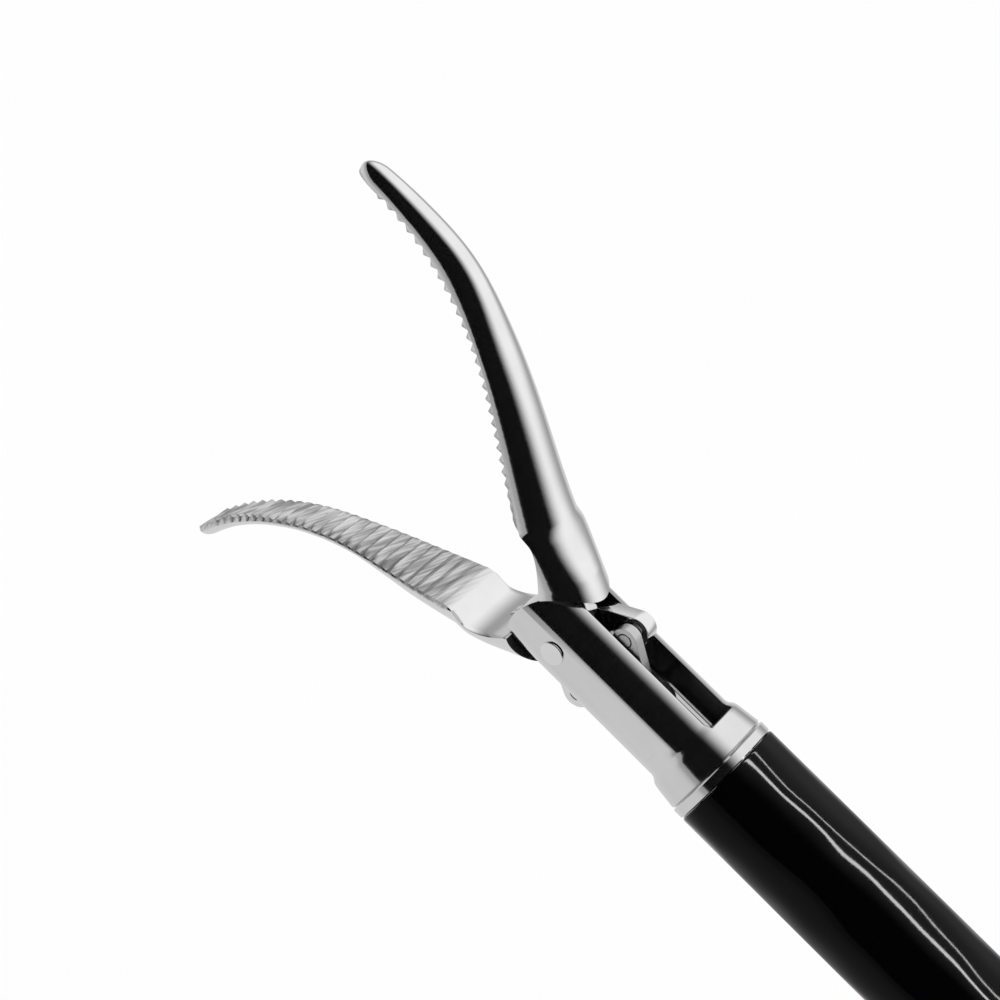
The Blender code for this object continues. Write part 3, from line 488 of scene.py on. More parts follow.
def upright(obj, x):
    """Turns a piece made along X so that it stands along Z at x."""
    obj.data.transform(Matrix.Translation((x, 0, 0)) @ Matrix.Rotation(-math.pi / 2, 4, "Y"))
    return obj


def settled(obj):
    """The object with its modifiers worked into its mesh."""
    bpy.context.view_layer.update()
    graph = bpy.context.evaluated_depsgraph_get()
    mesh = bpy.data.meshes.new_from_object(obj.evaluated_get(graph))
    obj.modifiers.clear()
    obj.data = mesh
    return obj


def combined(target, others, operation):
    """The target joined to, cut by or kept within each of the others, which are then removed."""
    for other in others:
        change = target.modifiers.new("combine", "BOOLEAN")
        change.operation = operation
        change.object = other
        change.solver = "MANIFOLD"
        settled(target)
        bpy.data.objects.remove(other, do_unlink=True)
    return target


def remeshed(obj, voxel, smoothing):
    """A skin of even squares over the object, with its hard corners eased by repeated averaging."""
    change = obj.modifiers.new("remesh", "REMESH")
    change.mode = "VOXEL"
    change.voxel_size = voxel
    ease = obj.modifiers.new("ease", "SMOOTH")
    ease.factor = 0.5
    ease.iterations = smoothing
    return settled(obj)


def circle(x, z, radius):
    """Evenly spaced (x, z) points on a circle."""
    count = 64
    turn = np.arange(count) * 2 * np.pi / count
    return np.stack([x + radius * np.cos(turn), z + radius * np.sin(turn)], axis=1)


def wrapped(*outlines):
    """The line of a band pulled tight round several outlines: in each direction, the point that
    reaches furthest that way, with repeats dropped."""
    points = np.vstack(outlines)
    turn = np.arange(720) * 2 * np.pi / 720
    reach = points @ np.stack([np.cos(turn), np.sin(turn)])
    order = reach.argmax(axis=0)
    keep = np.concatenate([[True], order[1:] != order[:-1]])
    order = order[keep]
    if order[0] == order[-1]:
        order = order[:-1]
    return points[order]


def plate(name, outline, low_y, high_y, edge=0.03 * MM):
    """A flat piece with rounded rims: an (x, z) outline, filled and thick from one Y place to another."""
    curve = bpy.data.curves.new(name, "CURVE")
    curve.dimensions = "2D"
    curve.fill_mode = "BOTH"
    curve.extrude = (high_y - low_y) / 2 - edge
    curve.bevel_depth = edge
    curve.bevel_resolution = 2
    curve.offset = -edge
    spline = curve.splines.new("POLY")
    spline.points.add(len(outline) - 1)
    flat = np.column_stack([outline, np.zeros(len(outline)), np.ones(len(outline))])
    spline.points.foreach_set("co", flat.ravel())
    spline.use_cyclic_u = True
    drawn = bpy.data.objects.new(name, curve)
    bpy.context.scene.collection.objects.link(drawn)
    bpy.context.view_layer.update()
    shape = bmesh.new()
    shape.from_mesh(bpy.data.meshes.new_from_object(drawn))
    bpy.data.objects.remove(drawn, do_unlink=True)
    stand = Matrix.Translation((0, (low_y + high_y) / 2, 0)) @ Matrix.Rotation(math.pi / 2, 4, "X")
    shape.transform(stand)
    return from_shape(name, shape, 1e-6)


def block(name, low, high):
    """A box between its lowest and highest corners, for cutting with."""
    shape = bmesh.new()
    bmesh.ops.create_cube(shape, size=1)
    size = Vector(high) - Vector(low)
    middle = (Vector(high) + Vector(low)) / 2
    shape.transform(Matrix.Translation(middle) @ Matrix.Diagonal((*size, 1)))
    return from_shape(name, shape)


def placed(obj, node, material, body, corner=TURNED_CORNER, turn_y=0.0, about=Vector((0, 0, 0))):
    """Finishes a piece: its rest place in the frame, smooth shading, material, body, and CAD node."""
    obj.data.transform(to_frame(turn_y, about))
    obj.data.shade_smooth()
    obj.data.set_sharp_from_angle(angle=corner)
    obj.data.materials.clear()
    obj.data.materials.append(material)
    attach(obj, body)
    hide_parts(node)
    return obj


def dressed(node, material, edge=0.0):
    """A copy of a CAD node with its seams merged and its flat faces whole, and rounded edges if an edge
    is given."""
    source = frame["nodes"][node]
    shape = bmesh.new()
    shape.from_mesh(source.data)
    bmesh.ops.remove_doubles(shape, verts=shape.verts, dist=1e-7)
    bmesh.ops.dissolve_limit(
        shape, angle_limit=math.radians(0.5), verts=shape.verts, edges=shape.edges
    )
    mesh = bpy.data.meshes.new(node + "_finished")
    shape.to_mesh(mesh)
    shape.free()
    obj = bpy.data.objects.new(node + "_finished", mesh)
    bpy.context.scene.collection.objects.link(obj)
    mesh.shade_smooth()
    mesh.set_sharp_from_angle(angle=DRESSED_CORNER)
    mesh.materials.append(material)
    if edge:
        bevel = obj.modifiers.new("edges", "BEVEL")
        bevel.width = edge
        bevel.segments = 3
        bevel.limit_method = "ANGLE"
        bevel.angle_limit = DRESSED_CORNER
        bevel.use_clamp_overlap = True
        bevel.harden_normals = True
        settled(obj)
    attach(obj, source["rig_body"])
    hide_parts(node)
    return obj


# Jaws


def mating_height(x):
    """The closed jaws' meeting line: rise times run squared, less hook times run cubed, plus an easing
    towards the tip that grows as the square of what is past its start."""
    run = np.maximum(x - CURVE_START, 0)
    eased = np.maximum(x - EASE_START, 0)
    return CURVE_RISE * run**2 - CURVE_HOOK * run**3 + CURVE_EASE * eased**2


def mating_slope(x):
    """The rise of mating_height to a metre: its first derivative."""
    run = np.maximum(x - CURVE_START, 0)
    eased = np.maximum(x - EASE_START, 0)
    return 2 * CURVE_RISE * run - 3 * CURVE_HOOK * run**2 + 2 * CURVE_EASE * eased


def jaw_rows():
    """Where the jaw's sections lie: along the relief, sixteen to a tooth, and ever closer to the tip."""
    relief = np.concatenate(
        [np.linspace(MM, JAW_BODY_START, 12)[:-1], np.linspace(JAW_BODY_START, TOOTH_START, 40)[:-1]]
    )
    toothed = TOOTH_START + np.arange(ROWS_PER_TOOTH * TEETH + 1) * TOOTH_PITCH / ROWS_PER_TOOTH
    before_tip = np.linspace(LAST_TOOTH, TIP_ROUND_START, 4)[1:-1]
    tip = JAW_LENGTH - JAW_TIP_ROUND * (1 - np.sin(np.radians(np.linspace(0, 88, 16))))
    return np.concatenate([relief, toothed, before_tip, tip])


def bell(x, place, length):
    """A bell curve: e to the power of minus the square of how many lengths x is from a place."""
    return np.exp(-(((x - place) / length) ** 2))


def jaw_sizes(x, back):
    """Half width, which falls evenly towards the tip, and height, which falls as the square. The upper jaw
    is higher before its hook. The lower is narrower at its middle, and thinner from there on."""
    share = np.minimum((JAW_LENGTH - x) / (JAW_LENGTH - JAW_BODY_START), 1.0)
    half_width = JAW_TIP_HALF_WIDTH + (JAW_BASE_HALF_WIDTH - JAW_TIP_HALF_WIDTH) * share
    height = JAW_TIP_HEIGHT + (JAW_BASE_HEIGHT - JAW_TIP_HEIGHT) * share**2
    if back > 0:
        height = height + UPPER_SWELL_RISE * bell(x, UPPER_SWELL_PLACE, UPPER_SWELL_LENGTH)
    else:
        thinning = np.clip((x - LOWER_THIN_START) / LOWER_THIN_LENGTH, 0, 1)
        height = height * (1 - LOWER_THIN_SHARE * thinning)
        half_width = half_width * (1 - LOWER_WAIST_SHARE * bell(x, LOWER_WAIST_PLACE, LOWER_WAIST_LENGTH))
    return half_width, height


def jaw_relief(x):
    """The face's stand-off from the mating line: half the closed gap and, before the teeth, a hollow that
    is the sine of 0.9 pi times the way back from them to the power 0.8, with an eased start."""
    along = np.clip((TOOTH_START - x) / (TOOTH_START - JAW_BODY_START), 0, 1)
    onset = np.clip(along / RELIEF_ONSET, 0, 1)
    onset = onset**2 * (3 - 2 * onset)
    return CLOSED_GAP / 2 + RELIEF_DEPTH * onset * np.sin(0.9 * np.pi * along**0.8)


def jaw_teeth(x, back):
    """The teeth's height about their middle, three parts triangle wave and one part cosine, growing over
    the first few, and how far each place is from the valleys' depth."""
    in_teeth = (x >= TOOTH_START) & (x <= LAST_TOOTH)
    wave = 2 * np.abs((x - TOOTH_START) / TOOTH_PITCH % 1 - 0.5)
    soft_wave = 0.5 - 0.5 * np.cos(np.pi * wave)
    crest = 1 - (0.75 * wave + 0.25 * soft_wave)
    growth = np.clip((x - TOOTH_START) / (GROWING_TEETH * TOOTH_PITCH), FIRST_TOOTH_SHARE, 1)
    tooth = np.where(in_teeth, back * TOOTH_HEIGHT * growth * (crest - 0.5), 0)
    to_valley = np.where(in_teeth, TOOTH_HEIGHT * growth / 2 - tooth, 0)
    return tooth, to_valley


def jaw_skin(name, back):
    """Half-round sections along the mating line. A section is an arc of an ellipse from one edge over
    the back to the other, at 16 to 164 degrees, then a chamfer, the toothed face as a straight line,
    and a chamfer again. The tip's sections shrink as a quarter circle. Towards the face's edges the
    lower jaw's teeth are worn most of the way down to their valleys, but not near the tip. back is 1
    for the upper jaw and -1 for the lower."""
    x = jaw_rows()
    half_width, height = jaw_sizes(x, back)
    tooth, to_valley = jaw_teeth(x, back)
    face = jaw_relief(x) + tooth
    inward = np.clip((x - TIP_ROUND_START) / JAW_TIP_ROUND, 0, 1)
    rounding = np.sqrt(1 - inward**2)
    half_width = half_width * rounding
    height = height * (0.35 + 0.65 * rounding)
    fresh = np.clip((x - LOWER_WEAR_END) / LOWER_WEAR_FADE, 0, 1) if back < 0 else 1.0

    arc = np.radians(np.linspace(16, 164, 57))
    reach = 1 / np.cos(arc[0])
    chamfer = np.minimum(EDGE_CHAMFER, 0.3 * half_width) * (0.3 + 0.7 * fresh)
    edge_lift = CLOSED_GAP / 2 + TOOTH_HEIGHT / 2 + 0.9 * chamfer
    edge_lift = np.maximum(edge_lift, face + 0.5 * chamfer)
    rise = (np.sin(arc) - np.sin(arc[0])) / (1 - np.sin(arc[0]))
    lift = edge_lift[:, None] + (height - edge_lift)[:, None] * rise
    wide = half_width[:, None] * reach * np.cos(arc)
    inner = np.linspace(-1, 1, 15)
    face_wide = (half_width - chamfer)[:, None] * inner
    edge = np.clip((np.abs(inner) - UNWORN_SHARE) / (1 - UNWORN_SHARE), 0, 1)
    face_lift = face[:, None] + (to_valley * LOWER_WEAR_SHARE * (1 - fresh))[:, None] * edge
    y = np.hstack([wide, face_wide])
    up = np.hstack([lift, face_lift])
    slope = np.arctan(mating_slope(x))[:, None]
    points = np.stack(
        [
            x[:, None] - back * up * np.sin(slope),
            y,
            mating_height(x)[:, None] + back * up * np.cos(slope),
        ],
        axis=-1,
    )
    return skin(name, points)


def serrated_share(obj, back):
    """Gives each corner of the mesh 1 on the toothed face and 0 above it, by its height over the mating
    line."""
    count = len(obj.data.vertices)
    place = np.empty(count * 3, np.float32)
    obj.data.vertices.foreach_get("co", place)
    x, _, z = place.reshape(-1, 3).T
    height = back * (z - mating_height(x)) * np.cos(np.arctan(mating_slope(x)))
    top = CLOSED_GAP / 2 + TOOTH_HEIGHT / 2 + EDGE_CHAMFER
    share = np.clip((top - height) / (0.3 * EDGE_CHAMFER), 0, 1)
    share *= np.clip((x - TOOTH_START + TOOTH_PITCH) / TOOTH_PITCH, 0, 1)
    attribute = obj.data.attributes.new("serrated", "FLOAT", "POINT")
    attribute.data.foreach_set("value", share.astype(np.float32))


def make_jaw(name, back, material):
    """The jaw's body and its flat tail, which has a boss on the pivot and a lobe on the link's pin."""
    low = SEAT_GAP if back > 0 else -SEAT_GAP - TAIL_THICKNESS
    lobe_x = -TAIL_ARM * math.cos(TAIL_ANGLE)
    lobe_z = -back * TAIL_ARM * math.sin(TAIL_ANGLE)
    root_z = back * (CLOSED_GAP + RELIEF_DEPTH / 2 + TAIL_ROOT_RADIUS)
    boss = circle(0, 0, TAIL_BOSS_RADIUS)
    lobe = wrapped(boss, circle(lobe_x, lobe_z, TAIL_LOBE_RADIUS))
    root = wrapped(boss, circle(JAW_BODY_START + TAIL_ROOT_RADIUS, root_z, TAIL_ROOT_RADIUS))
    holes = [
        across(bar_of("hole", 3 * MM, -3 * MM, PIVOT_PIN_RADIUS + RUNNING_GAP), 0, 0),
        across(bar_of("hole", 3 * MM, -3 * MM, LINK_PIN_RADIUS + RUNNING_GAP), lobe_x, lobe_z),
    ]
    flats = [plate("tail", outline, low, low + TAIL_THICKNESS) for outline in (root, lobe)]
    hollow = across(bar_of("hollow", 4 * MM, -4 * MM, CLEVIS_TIP_RADIUS + NOSE_GAP, 128), 0, 0)
    jaw = combined(jaw_skin(name + "_finished", back), [hollow], "DIFFERENCE")
    combined(jaw, flats, "UNION")
    combined(jaw, holes, "DIFFERENCE")
    serrated_share(jaw, back)
    placed(jaw, name, material, name, JAW_CORNER, turn_y=-back * JAW_OPENING)


# Shaft and knob


def make_pivot_pin(material):
    """A riveted pin: its round ends are spread a little over the rim of the clevis's hole."""
    end = CLEVIS_FLAT + PIVOT_PIN_DOME
    head = PIVOT_PIN_RADIUS + RIVET_SPREAD
    under = CLEVIS_FLAT + RIVET_SEAT_GAP
    corners = [
        (-end, head / 4), (-end, head), (-under, head), (-under, PIVOT_PIN_RADIUS),
        (under, PIVOT_PIN_RADIUS), (under, head), (end, head), (end, head / 4),
    ]
    profile = rounded(corners, [0, 0.09 * MM, 0, 0, 0, 0, 0.09 * MM, 0])
    pin = across(turned("pivot_pin_finished", profile, 64, looped=False), 0, 0)
    placed(pin, "jaw_pivot_pin", material, "shaft")


def make_sheath(material):
    """The black tube, from behind the steel ring to the floor of the knob's socket."""
    rear = KNOB_FRONT - KNOB_SOCKET_DEPTH + SEAT_GAP
    bore = TUBE_RADIUS + RUNNING_GAP
    sheath = bar_of("sheath_skin", SHEATH_FRONT, rear, SHAFT_RADIUS, 128, SHEATH_EDGE, bore)
    return placed(sheath, "insulation_sheath", material, "shaft")


def make_knob(material):
    """A turned profile with rounded corners, whose outer part is cut by flutes: at angle a the radius
    is less by the flute's depth times (half plus half the cosine of eight times a) to the power 1.5.
    A row is a place along X, a radius and a flute depth."""
    depth = KNOB_FLUTE_DEPTH
    tail = WALL_HOLE_RADIUS - 0.1 * MM
    nose = 0.5 * (KNOB_NOSE_RADIUS + KNOB_RADIUS)
    rows = np.array(
        [
            (KNOB_FRONT - KNOB_SOCKET_DEPTH, TUBE_RADIUS + RUNNING_GAP, 0),
            (KNOB_FRONT - KNOB_SOCKET_DEPTH, SHAFT_RADIUS + RUNNING_GAP, 0),
            (KNOB_FRONT, SHAFT_RADIUS + RUNNING_GAP, 0),
            (KNOB_FRONT, KNOB_NOSE_RADIUS - 0.6 * MM, 0),
            (KNOB_FRONT - 1.5 * MM, KNOB_NOSE_RADIUS, 0.1 * depth),
            (KNOB_FRONT - 0.2 * KNOB_LENGTH, nose - MM, 0.5 * depth),
            (KNOB_FRONT - 0.33 * KNOB_LENGTH, KNOB_RADIUS - 0.8 * MM, depth),
            (KNOB_FRONT - 0.45 * KNOB_LENGTH, KNOB_RADIUS, depth),
            (KNOB_FRONT - 0.8 * KNOB_LENGTH, KNOB_RADIUS, depth),
            (KNOB_REAR + 0.8 * MM, KNOB_RADIUS - 0.2 * MM, 0.8 * depth),
            (KNOB_REAR, KNOB_RADIUS - 1.2 * MM, 0.5 * depth),
            (KNOB_REAR, tail, 0),
            (FLANGE_FRONT - 0.2 * MM, tail, 0),
            (FLANGE_FRONT - 0.2 * MM, FLANGE_RADIUS, 0),
            (FLANGE_REAR, FLANGE_RADIUS, 0),
            (FLANGE_REAR, COLLAR_RADIUS + RUNNING_GAP, 0),
            (COLLAR_FRONT + SEAT_GAP, COLLAR_RADIUS + RUNNING_GAP, 0),
            (COLLAR_FRONT + SEAT_GAP, TUBE_RADIUS + RUNNING_GAP, 0),
        ]
    )
    softness = [0, 0.1, 0.3, 0.5, 1.2, 2, 2, 2.5, 2, 0.6, 0.5, 0.3, 0.1, 0.3, 0.3, 0.1, 0.1, 0]
    line = rounded(rows[:, :2], np.array(softness) * MM, 9)
    flute = np.interp(-line[:, 0], -rows[3:11, 0], rows[3:11, 2])
    flute = np.where(line[:, 1] > KNOB_NOSE_RADIUS - MM, flute, 0)
    flute = np.where((line[:, 0] > KNOB_REAR - 1e-6) & (line[:, 0] < KNOB_FRONT + 1e-6), flute, 0)
    angle = np.arange(KNOB_FLUTES * 30) * 2 * np.pi / (KNOB_FLUTES * 30)
    wave = (0.5 + 0.5 * np.cos(KNOB_FLUTES * angle)) ** 1.5
    radius = line[:, 1:] - flute[:, None] * wave
    x = np.repeat(line[:, :1], len(angle), axis=1)
    points = np.stack([x, radius * np.cos(angle), radius * np.sin(angle)], axis=-1)
    placed(skin("knob_skin", points, looped=True), "rotation_knob", material, "shaft")


# Handle


def smooth_table(rows, count):
    """A Catmull-Rom curve through each column of the rows, at evenly spaced places along them."""
    rows = np.array(rows, float)
    padded = np.vstack([2 * rows[0] - rows[1], rows, 2 * rows[-1] - rows[-2]])
    where = np.linspace(0, len(rows) - 1, count)
    index = np.minimum(where.astype(int), len(rows) - 2)
    t = (where - index)[:, None]
    a, b, c, d = (padded[index + i] for i in range(4))
    return 0.5 * (
        2 * b + (c - a) * t + (2 * a - 5 * b + 4 * c - d) * t**2 + (3 * b - a - 3 * c + d) * t**3
    )


def oval(half_a, half_b, power, count):
    """A superellipse: each coordinate is its half size times the sign and the 2/power of its cosine or
    sine."""
    turn = (np.arange(count) + 0.5) * 2 * np.pi / count
    c, s = np.cos(turn), np.sin(turn)
    return (
        half_a * np.sign(c) * np.abs(c) ** (2 / power),
        half_b * np.sign(s) * np.abs(s) ** (2 / power),
    )


def bar(name, rows):
    """A tapering bar along (x, z, half width across the path, half thickness in Y) rows: an oval carried
    along the path, square to it."""
    table = smooth_table(rows, 80)
    heading = np.gradient(table[:, :2], axis=0)
    heading /= np.linalg.norm(heading, axis=1)[:, None]
    x, z, half_wide, half_thick = (column[:, None] for column in table.T)
    wide, thick = oval(half_wide, half_thick, BAR_POWER, 64)
    points = np.stack([x - wide * heading[:, 1:], thick, z + wide * heading[:, :1]], axis=-1)
    return skin(name, points)


def ring_bar(name, centre, half, tilt):
    """A finger ring: an oval carried round an ellipse in the XZ plane, square to it, then tilted about
    Y."""
    wide, thick = oval(*RING_BAR_HALF, BAR_POWER, 48)
    steps = 160
    turn = np.arange(steps) * 2 * np.pi / steps
    out = np.stack([half[1] * np.cos(turn), half[0] * np.sin(turn)], axis=1)
    out /= np.linalg.norm(out, axis=1)[:, None]
    x = (half[0] * np.cos(turn))[:, None] + wide * out[:, :1]
    z = (half[1] * np.sin(turn))[:, None] + wide * out[:, 1:]
    points = np.stack(
        [
            centre[0] + x * math.cos(tilt) + z * math.sin(tilt),
            np.broadcast_to(thick, x.shape),
            centre[1] - x * math.sin(tilt) + z * math.cos(tilt),
        ],
        axis=-1,
    )
    return skin(name, points, looped=True)


def housing_skin():
    """The housing: ovals along X whose middle, half sizes and squareness follow a smooth table."""
    front = HOUSING_FRONT
    length = HOUSING_LENGTH
    table = smooth_table(
        [
            (front, 0, 10.6 * MM, 10.6 * MM, 2),
            (front - 0.02 * length, 0, 11.6 * MM, 11.6 * MM, 2),
            (front - 0.15 * length, -0.4 * MM, 11.3 * MM, 12.2 * MM, 2.2),
            (front - 0.36 * length, -2 * MM, 10 * MM, 13.4 * MM, 2.6),
            (front - 0.58 * length, -2.6 * MM, 9.5 * MM, 13.6 * MM, 2.8),
            (front - 0.8 * length, -2.2 * MM, 9 * MM, 12.4 * MM, 2.8),
            (front - 0.94 * length, -1.6 * MM, 7.8 * MM, 10.2 * MM, 2.6),
            (front - 0.99 * length, -1.2 * MM, 5.8 * MM, 7.6 * MM, 2.4),
            (front - length, -1 * MM, 4.2 * MM, 6 * MM, 2.2),
        ],
        121,
    )
    x, centre_z, half_y, half_z, power = (column[:, None] for column in table.T)
    wide, high = oval(half_y, half_z, power, 120)
    return skin("housing", np.stack([np.broadcast_to(x, wide.shape), wide, centre_z + high], axis=-1))


def lever_cavity():
    """The room that the lever swings through, as a flat block with the swing's outline."""
    px, pz = LEVER_AXIS.x, LEVER_AXIS.z
    half = LEVER_THICKNESS / 2 + 0.2 * MM
    front = px + 9.5 * MM
    top = 7 * MM
    clear = LEVER_HUB_RADIUS + MM
    outline = [
        (front, top),
        (front, -3 * MM),
        (px + clear, pz),
        (px + clear, pz - 6 * MM),
        (px + 3 * MM, pz - 16 * MM),
        (px - 19 * MM, pz - 16 * MM),
        (px - 13 * MM, pz - 4 * MM),
        (px - clear, pz + 2 * MM),
        (px - clear, top),
    ]
    return plate("cavity", outline, -half, half, 0.01 * MM)


def screw_places():
    """Each handle screw's X and Z, and how far its head's seat, and its end, are from the middle."""
    return [
        (HOUSING_FRONT - 11 * MM, 5.6 * MM, 5.5 * MM),
        (HOUSING_REAR + 9 * MM, 2.5 * MM, 4.6 * MM),
        (HOUSING_FRONT - 12.2 * MM, -27 * MM, 3.2 * MM),
    ]


def make_handle(material):
    """Housing, grip and finger ring as one moulding, hollowed for what it holds, and split in two."""
    front = HOUSING_FRONT
    ring_x = front + FINGER_RING_CENTRE[0]
    ring_z = FINGER_RING_CENTRE[1]
    grip = bar(
        "grip",
        [
            (front - 14 * MM, -6 * MM, 8 * MM, 7 * MM),
            (front - 13 * MM, -18 * MM, 6.5 * MM, 6.2 * MM),
            (front - 11.5 * MM, -32 * MM, 5 * MM, 5.4 * MM),
            (front - 8 * MM, -43 * MM, 4.6 * MM, 5 * MM),
            (ring_x, ring_z + FINGER_RING_HALF[1], 3.4 * MM, 4.4 * MM),
        ],
    )
    ring = ring_bar("ring", (ring_x, ring_z), FINGER_RING_HALF, 0.0)
    body = remeshed(combined(housing_skin(), [grip, ring], "UNION"), 0.55 * MM, 14)
    post_x = front - POST_SETBACK
    pivot = (LEVER_AXIS.x, LEVER_AXIS.z)
    cutters = [
        lever_cavity(),
        bar_of("hole", front + MM, FLANGE_FRONT - MM, WALL_HOLE_RADIUS),
        bar_of("hole", FLANGE_FRONT, FLANGE_REAR - 0.2 * MM, FLANGE_RADIUS + MOULDED_GAP),
        bar_of("hole", FLANGE_REAR + MM, LEVER_AXIS.x, ROD_BORE_RADIUS),
        across(bar_of("hole", 12 * MM, -12 * MM, LEVER_PIN_RADIUS + RUNNING_GAP), *pivot),
        upright(bar_of("hole", 20 * MM, 0, POST_RADIUS + RUNNING_GAP), post_x),
        upright(bar_of("hole", 20 * MM, POST_SLEEVE_SEAT, POST_SLEEVE_RADIUS + RUNNING_GAP), post_x),
    ]
    for x, z, seat in screw_places():
        cutters.append(across(bar_of("hole", 12 * MM, -seat, SCREW_SHANK_RADIUS + RUNNING_GAP), x, z))
        cutters.append(across(bar_of("hole", 14 * MM, seat, SCREW_HEAD_RADIUS + MOULDED_GAP), x, z))
    combined(body, cutters, "DIFFERENCE")
    other = body.copy()
    other.data = body.data.copy()
    bpy.context.scene.collection.objects.link(other)
    far = 0.5
    gap = 0.01 * MM
    sides = (
        (body, "left", block("half", (-far, gap, -far), (far, far, far))),
        (other, "right", block("half", (-far, -far, -far), (far, -gap, far))),
    )
    for half, side, keep in sides:
        combined(half, [keep], "INTERSECT")
        remeshed(half, 0.45 * MM, 2)
        half.name = f"handle_{side}_skin"
        placed(half, f"handle_half_{side}", material, "handle", MOULDED_CORNER)


def make_lever(material):
    """Hub, arm and thumb ring grown into one moulding, with the ball's socket and the pin's hole."""
    px, pz = LEVER_AXIS.x, LEVER_AXIS.z
    half = LEVER_THICKNESS / 2
    head_top = 3.6 * MM
    head_half = 3.4 * MM
    corners = np.array(
        [
            (px - head_half, head_top - MM),
            (px + head_half, head_top - MM),
            (px - head_half + MM, head_top),
            (px + head_half - MM, head_top),
        ]
    )
    hub = plate("lever_skin", wrapped(circle(px, pz, LEVER_HUB_RADIUS), corners), -half, half, 0.4 * MM)
    tilt = math.atan2(-THUMB_RING_CENTRE[0], -THUMB_RING_CENTRE[1]) * 0.6
    arm = bar(
        "arm",
        [
            (px, pz, 4.4 * MM, half - 0.1 * MM),
            (px - 4.5 * MM, pz - 12 * MM, 4.4 * MM, half - 0.1 * MM),
            (px - 9.5 * MM, pz - 24 * MM, 4.6 * MM, 4 * MM),
            (px - 15 * MM, pz - 34 * MM, 4.6 * MM, 4.6 * MM),
            (px - 21 * MM, pz - 43.5 * MM, 4.4 * MM, 4.4 * MM),
        ],
    )
    centre = (px + THUMB_RING_CENTRE[0], pz + THUMB_RING_CENTRE[1])
    ring = ring_bar("ring", centre, THUMB_RING_HALF, tilt)
    lever = remeshed(combined(hub, [arm, ring], "UNION"), 0.5 * MM, 10)
    pocket = BALL_RADIUS + 0.07 * MM
    side = BALL_RADIUS + 0.1 * MM
    pocket_floor = -BALL_RADIUS - 0.25 * MM
    throat = 1.25 * MM
    throat_floors = (-1.4 * MM, -2.3 * MM)
    past = 8 * MM
    above = 10 * MM
    cutters = [
        block("socket", (px - pocket, -side, pocket_floor), (px + pocket, side, above)),
        block("throat", (px - past, -throat, throat_floors[0]), (px + MM, throat, above)),
        block("throat", (px, -throat, throat_floors[1]), (px + past, throat, above)),
        across(bar_of("hole", 8 * MM, -8 * MM, LEVER_PIN_RADIUS + RUNNING_GAP), px, pz),
    ]
    combined(lever, cutters, "DIFFERENCE")
    remeshed(lever, 0.35 * MM, 2)
    placed(
        lever, "thumb_lever", material, "thumb_lever", MOULDED_CORNER,
        turn_y=LEVER_SWING / 2, about=LEVER_AXIS,
    )


# Stage, light and camera


def make_floor():
    """A wide pale floor that keeps shadows. 0.72 of what the camera sees of it is its own white. In a
    mirror 0.8 of it is, and this white fades from 0.66 near the jaws to 0.3 far from them."""
    half = 16.0
    x, y = np.meshgrid([-half, half], [-half, half])
    mesh = bpy.data.meshes.new("floor")
    mesh.from_pydata(
        np.stack([x, y, np.zeros_like(x)], axis=-1).reshape(-1, 3).tolist(), [], [(0, 1, 3, 2)]
    )
    floor = bpy.data.objects.new("floor", mesh)
    bpy.context.scene.collection.objects.link(floor)
    material = bpy.data.materials.new("floor_paper")
    material.use_nodes = True
    shader = Shader(material.node_tree)
    paper = material.node_tree.nodes["Principled BSDF"]
    shader.feed(paper.inputs["Base Color"], grey(0.88))
    shader.feed(paper.inputs["Roughness"], 1.0)
    shader.feed(paper.inputs["Specular IOR Level"], 0.0)
    seen = shader.light_path("Camera").larger(shader.light_path("Transmission"))
    mirrored = shader.light_path("Glossy")
    away = shader.vector_maths("DISTANCE", shader.place(), (PIVOT.x, 0.0, 0.0), "Value").between(0.15, 0.7)
    strength = seen + (0.66 - 0.36 * away) * mirrored
    glow = shader.node("ShaderNodeEmission", {}, {"Color": grey(1.0), "Strength": strength})
    mixed = shader.node("ShaderNodeMixShader", {}, {0: 0.72 * seen + 0.8 * mirrored})
    node = mixed.socket.node
    shader.tree.links.new(paper.outputs[0], node.inputs[1])
    shader.tree.links.new(glow.socket, node.inputs[2])
    shader.tree.links.new(mixed.socket, shader.tree.nodes["Material Output"].inputs["Surface"])
    mesh.materials.append(material)


def make_world():
    """White to the camera, and 0.85 as light on dull surfaces. In mirrors it is dark on the camera's side,
    and from overhead down to the far side's horizon it is one wide soft light."""
    world = bpy.data.worlds.new("studio")
    bpy.context.scene.world = world
    world.use_nodes = True
    shader = Shader(world.node_tree)
    background = world.node_tree.nodes["Background"]
    way = shader.node("ShaderNodeTexCoord", output="Generated")
    far_side = shader.vector_maths("DOT_PRODUCT", way, (0.0, -0.8, 0.6), "Value").between(0.1, 0.68)
    elevation = shader.axis_of(way, "Z").between(0.0, 0.5)
    mirrored = 0.002 + far_side * (0.45 + 0.54 * elevation)
    glossy = shader.light_path("Glossy")
    seen = shader.light_path("Camera").larger(shader.light_path("Transmission"))
    strength = seen + (1 - seen) * (glossy * mirrored + (1 - glossy) * 0.85)
    shader.feed(background.inputs["Color"], grey(1.0))
    shader.feed(background.inputs["Strength"], strength)


def area_lamp(name, place, turn, size, power):
    """A rectangular lamp that shines along its own -Z."""
    data = bpy.data.lights.new(name, "AREA")
    data.shape = "RECTANGLE"
    data.size, data.size_y = size
    data.energy = power
    lamp = bpy.data.objects.new(name, data)
    bpy.context.scene.collection.objects.link(lamp)
    lamp.location = place
    lamp.rotation_mode = "QUATERNION"
    lamp.rotation_quaternion = turn
    return lamp


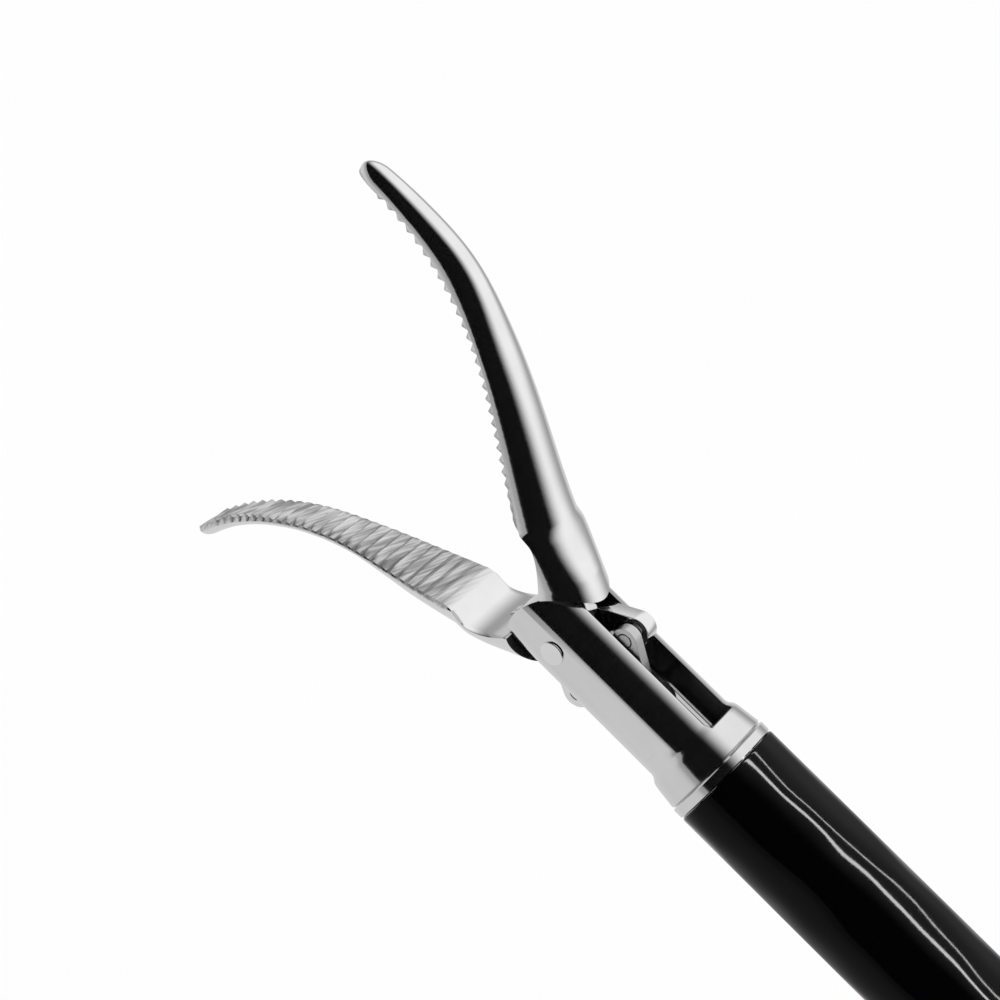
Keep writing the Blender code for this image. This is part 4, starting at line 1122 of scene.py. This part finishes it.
def make_lamps(sheath):
    """A wide soft light overhead, and two long strips that light the sheath alone, as thin lines on it."""
    above = Vector((-0.1, -0.05, 0.8))
    soft = area_lamp("soft_light", PIVOT + above, above.to_track_quat("Z", "Y"), (0.9, 0.7), 2.6)
    soft.visible_glossy = False
    lit = bpy.data.collections.new("lit_by_strips")
    lit.objects.link(sheath)
    strips = ((-0.054, 0.443, 0.05, 8.0), (-0.23, 0.385, 0.022, 2.4))
    for number, (y, height, width, power) in enumerate(strips, 1):
        place = (0.1, y, PIVOT.z + height)
        turn = Matrix.Rotation(math.atan2(-y, height), 4, "X").to_quaternion()
        strip = area_lamp(f"strip_light_{number}", place, turn, (0.8, width), power)
        strip.visible_diffuse = False
        strip.visible_camera = False
        strip.light_linking.receiver_collection = lit


def make_camera():
    """The camera fitted to the photograph, which looks against CAMERA_BACK from CAMERA_PLACE."""
    data = bpy.data.cameras.new("photo_camera")
    data.sensor_width = 36
    data.lens = CAMERA_LENS
    data.clip_start = MM
    data.clip_end = 50
    camera = bpy.data.objects.new("photo_camera", data)
    bpy.context.scene.collection.objects.link(camera)
    back = CAMERA_BACK.normalized()
    right = (CAMERA_RIGHT - back * CAMERA_RIGHT.dot(back)).normalized()
    turn = Matrix((right, back.cross(right), back)).transposed().to_4x4()
    camera.matrix_world = Matrix.Translation(PIVOT + CAMERA_PLACE) @ turn
    bpy.context.scene.camera = camera


def assign(material, node):
    """Gives a CAD node that stays as it is its material."""
    mesh = frame["nodes"][node].data
    mesh.materials.clear()
    mesh.materials.append(material)


def main():
    bpy.context.scene.view_settings.view_transform = "Standard"
    make_camera()
    jaws = jaw_steel()
    clevis = clevis_steel()
    links = link_steel()
    screws = screw_steel()
    sheath = sheath_plastic()
    knob = moulded_plastic("knob_plastic", grey(0.022), grey(0.034), 0.4, 2600, 0.02 * MM)
    handle = moulded_plastic("handle_plastic", grey(0.016), grey(0.026), 0.3, 1800, 0.02 * MM)
    make_jaw("upper_jaw", 1, jaws)
    make_jaw("lower_jaw", -1, jaws)
    make_pivot_pin(jaws)
    dressed("clevis", clevis, CLEVIS_EDGE)
    for node in ("collar_ring", "tube_lock_nut", "tube_collar"):
        dressed(node, clevis)
    for node in ("upper_link", "lower_link"):
        dressed(node, links, LINK_EDGE)
    for node in ("upper_link_pin", "lower_link_pin", "rod_cross_pin"):
        dressed(node, links)
    for node in ("rod_tongue", "push_rod", "rod_ball", "rod_lock_nut"):
        dressed(node, links)
    for node in ("handle_screw_1", "handle_screw_2", "handle_screw_3", "lever_pivot_pin"):
        dressed(node, screws)
    dressed("electrode_post", screws)
    dressed("post_insulator", knob)
    sheath_skin = make_sheath(sheath)
    make_knob(knob)
    make_handle(handle)
    make_lever(handle)
    assign(clevis, "inner_tube")
    assign(white_ptfe(), "rod_guide_bush")
    assign(seal_rubber(), "rod_seal")
    make_floor()
    make_world()
    make_lamps(sheath_skin)


main()
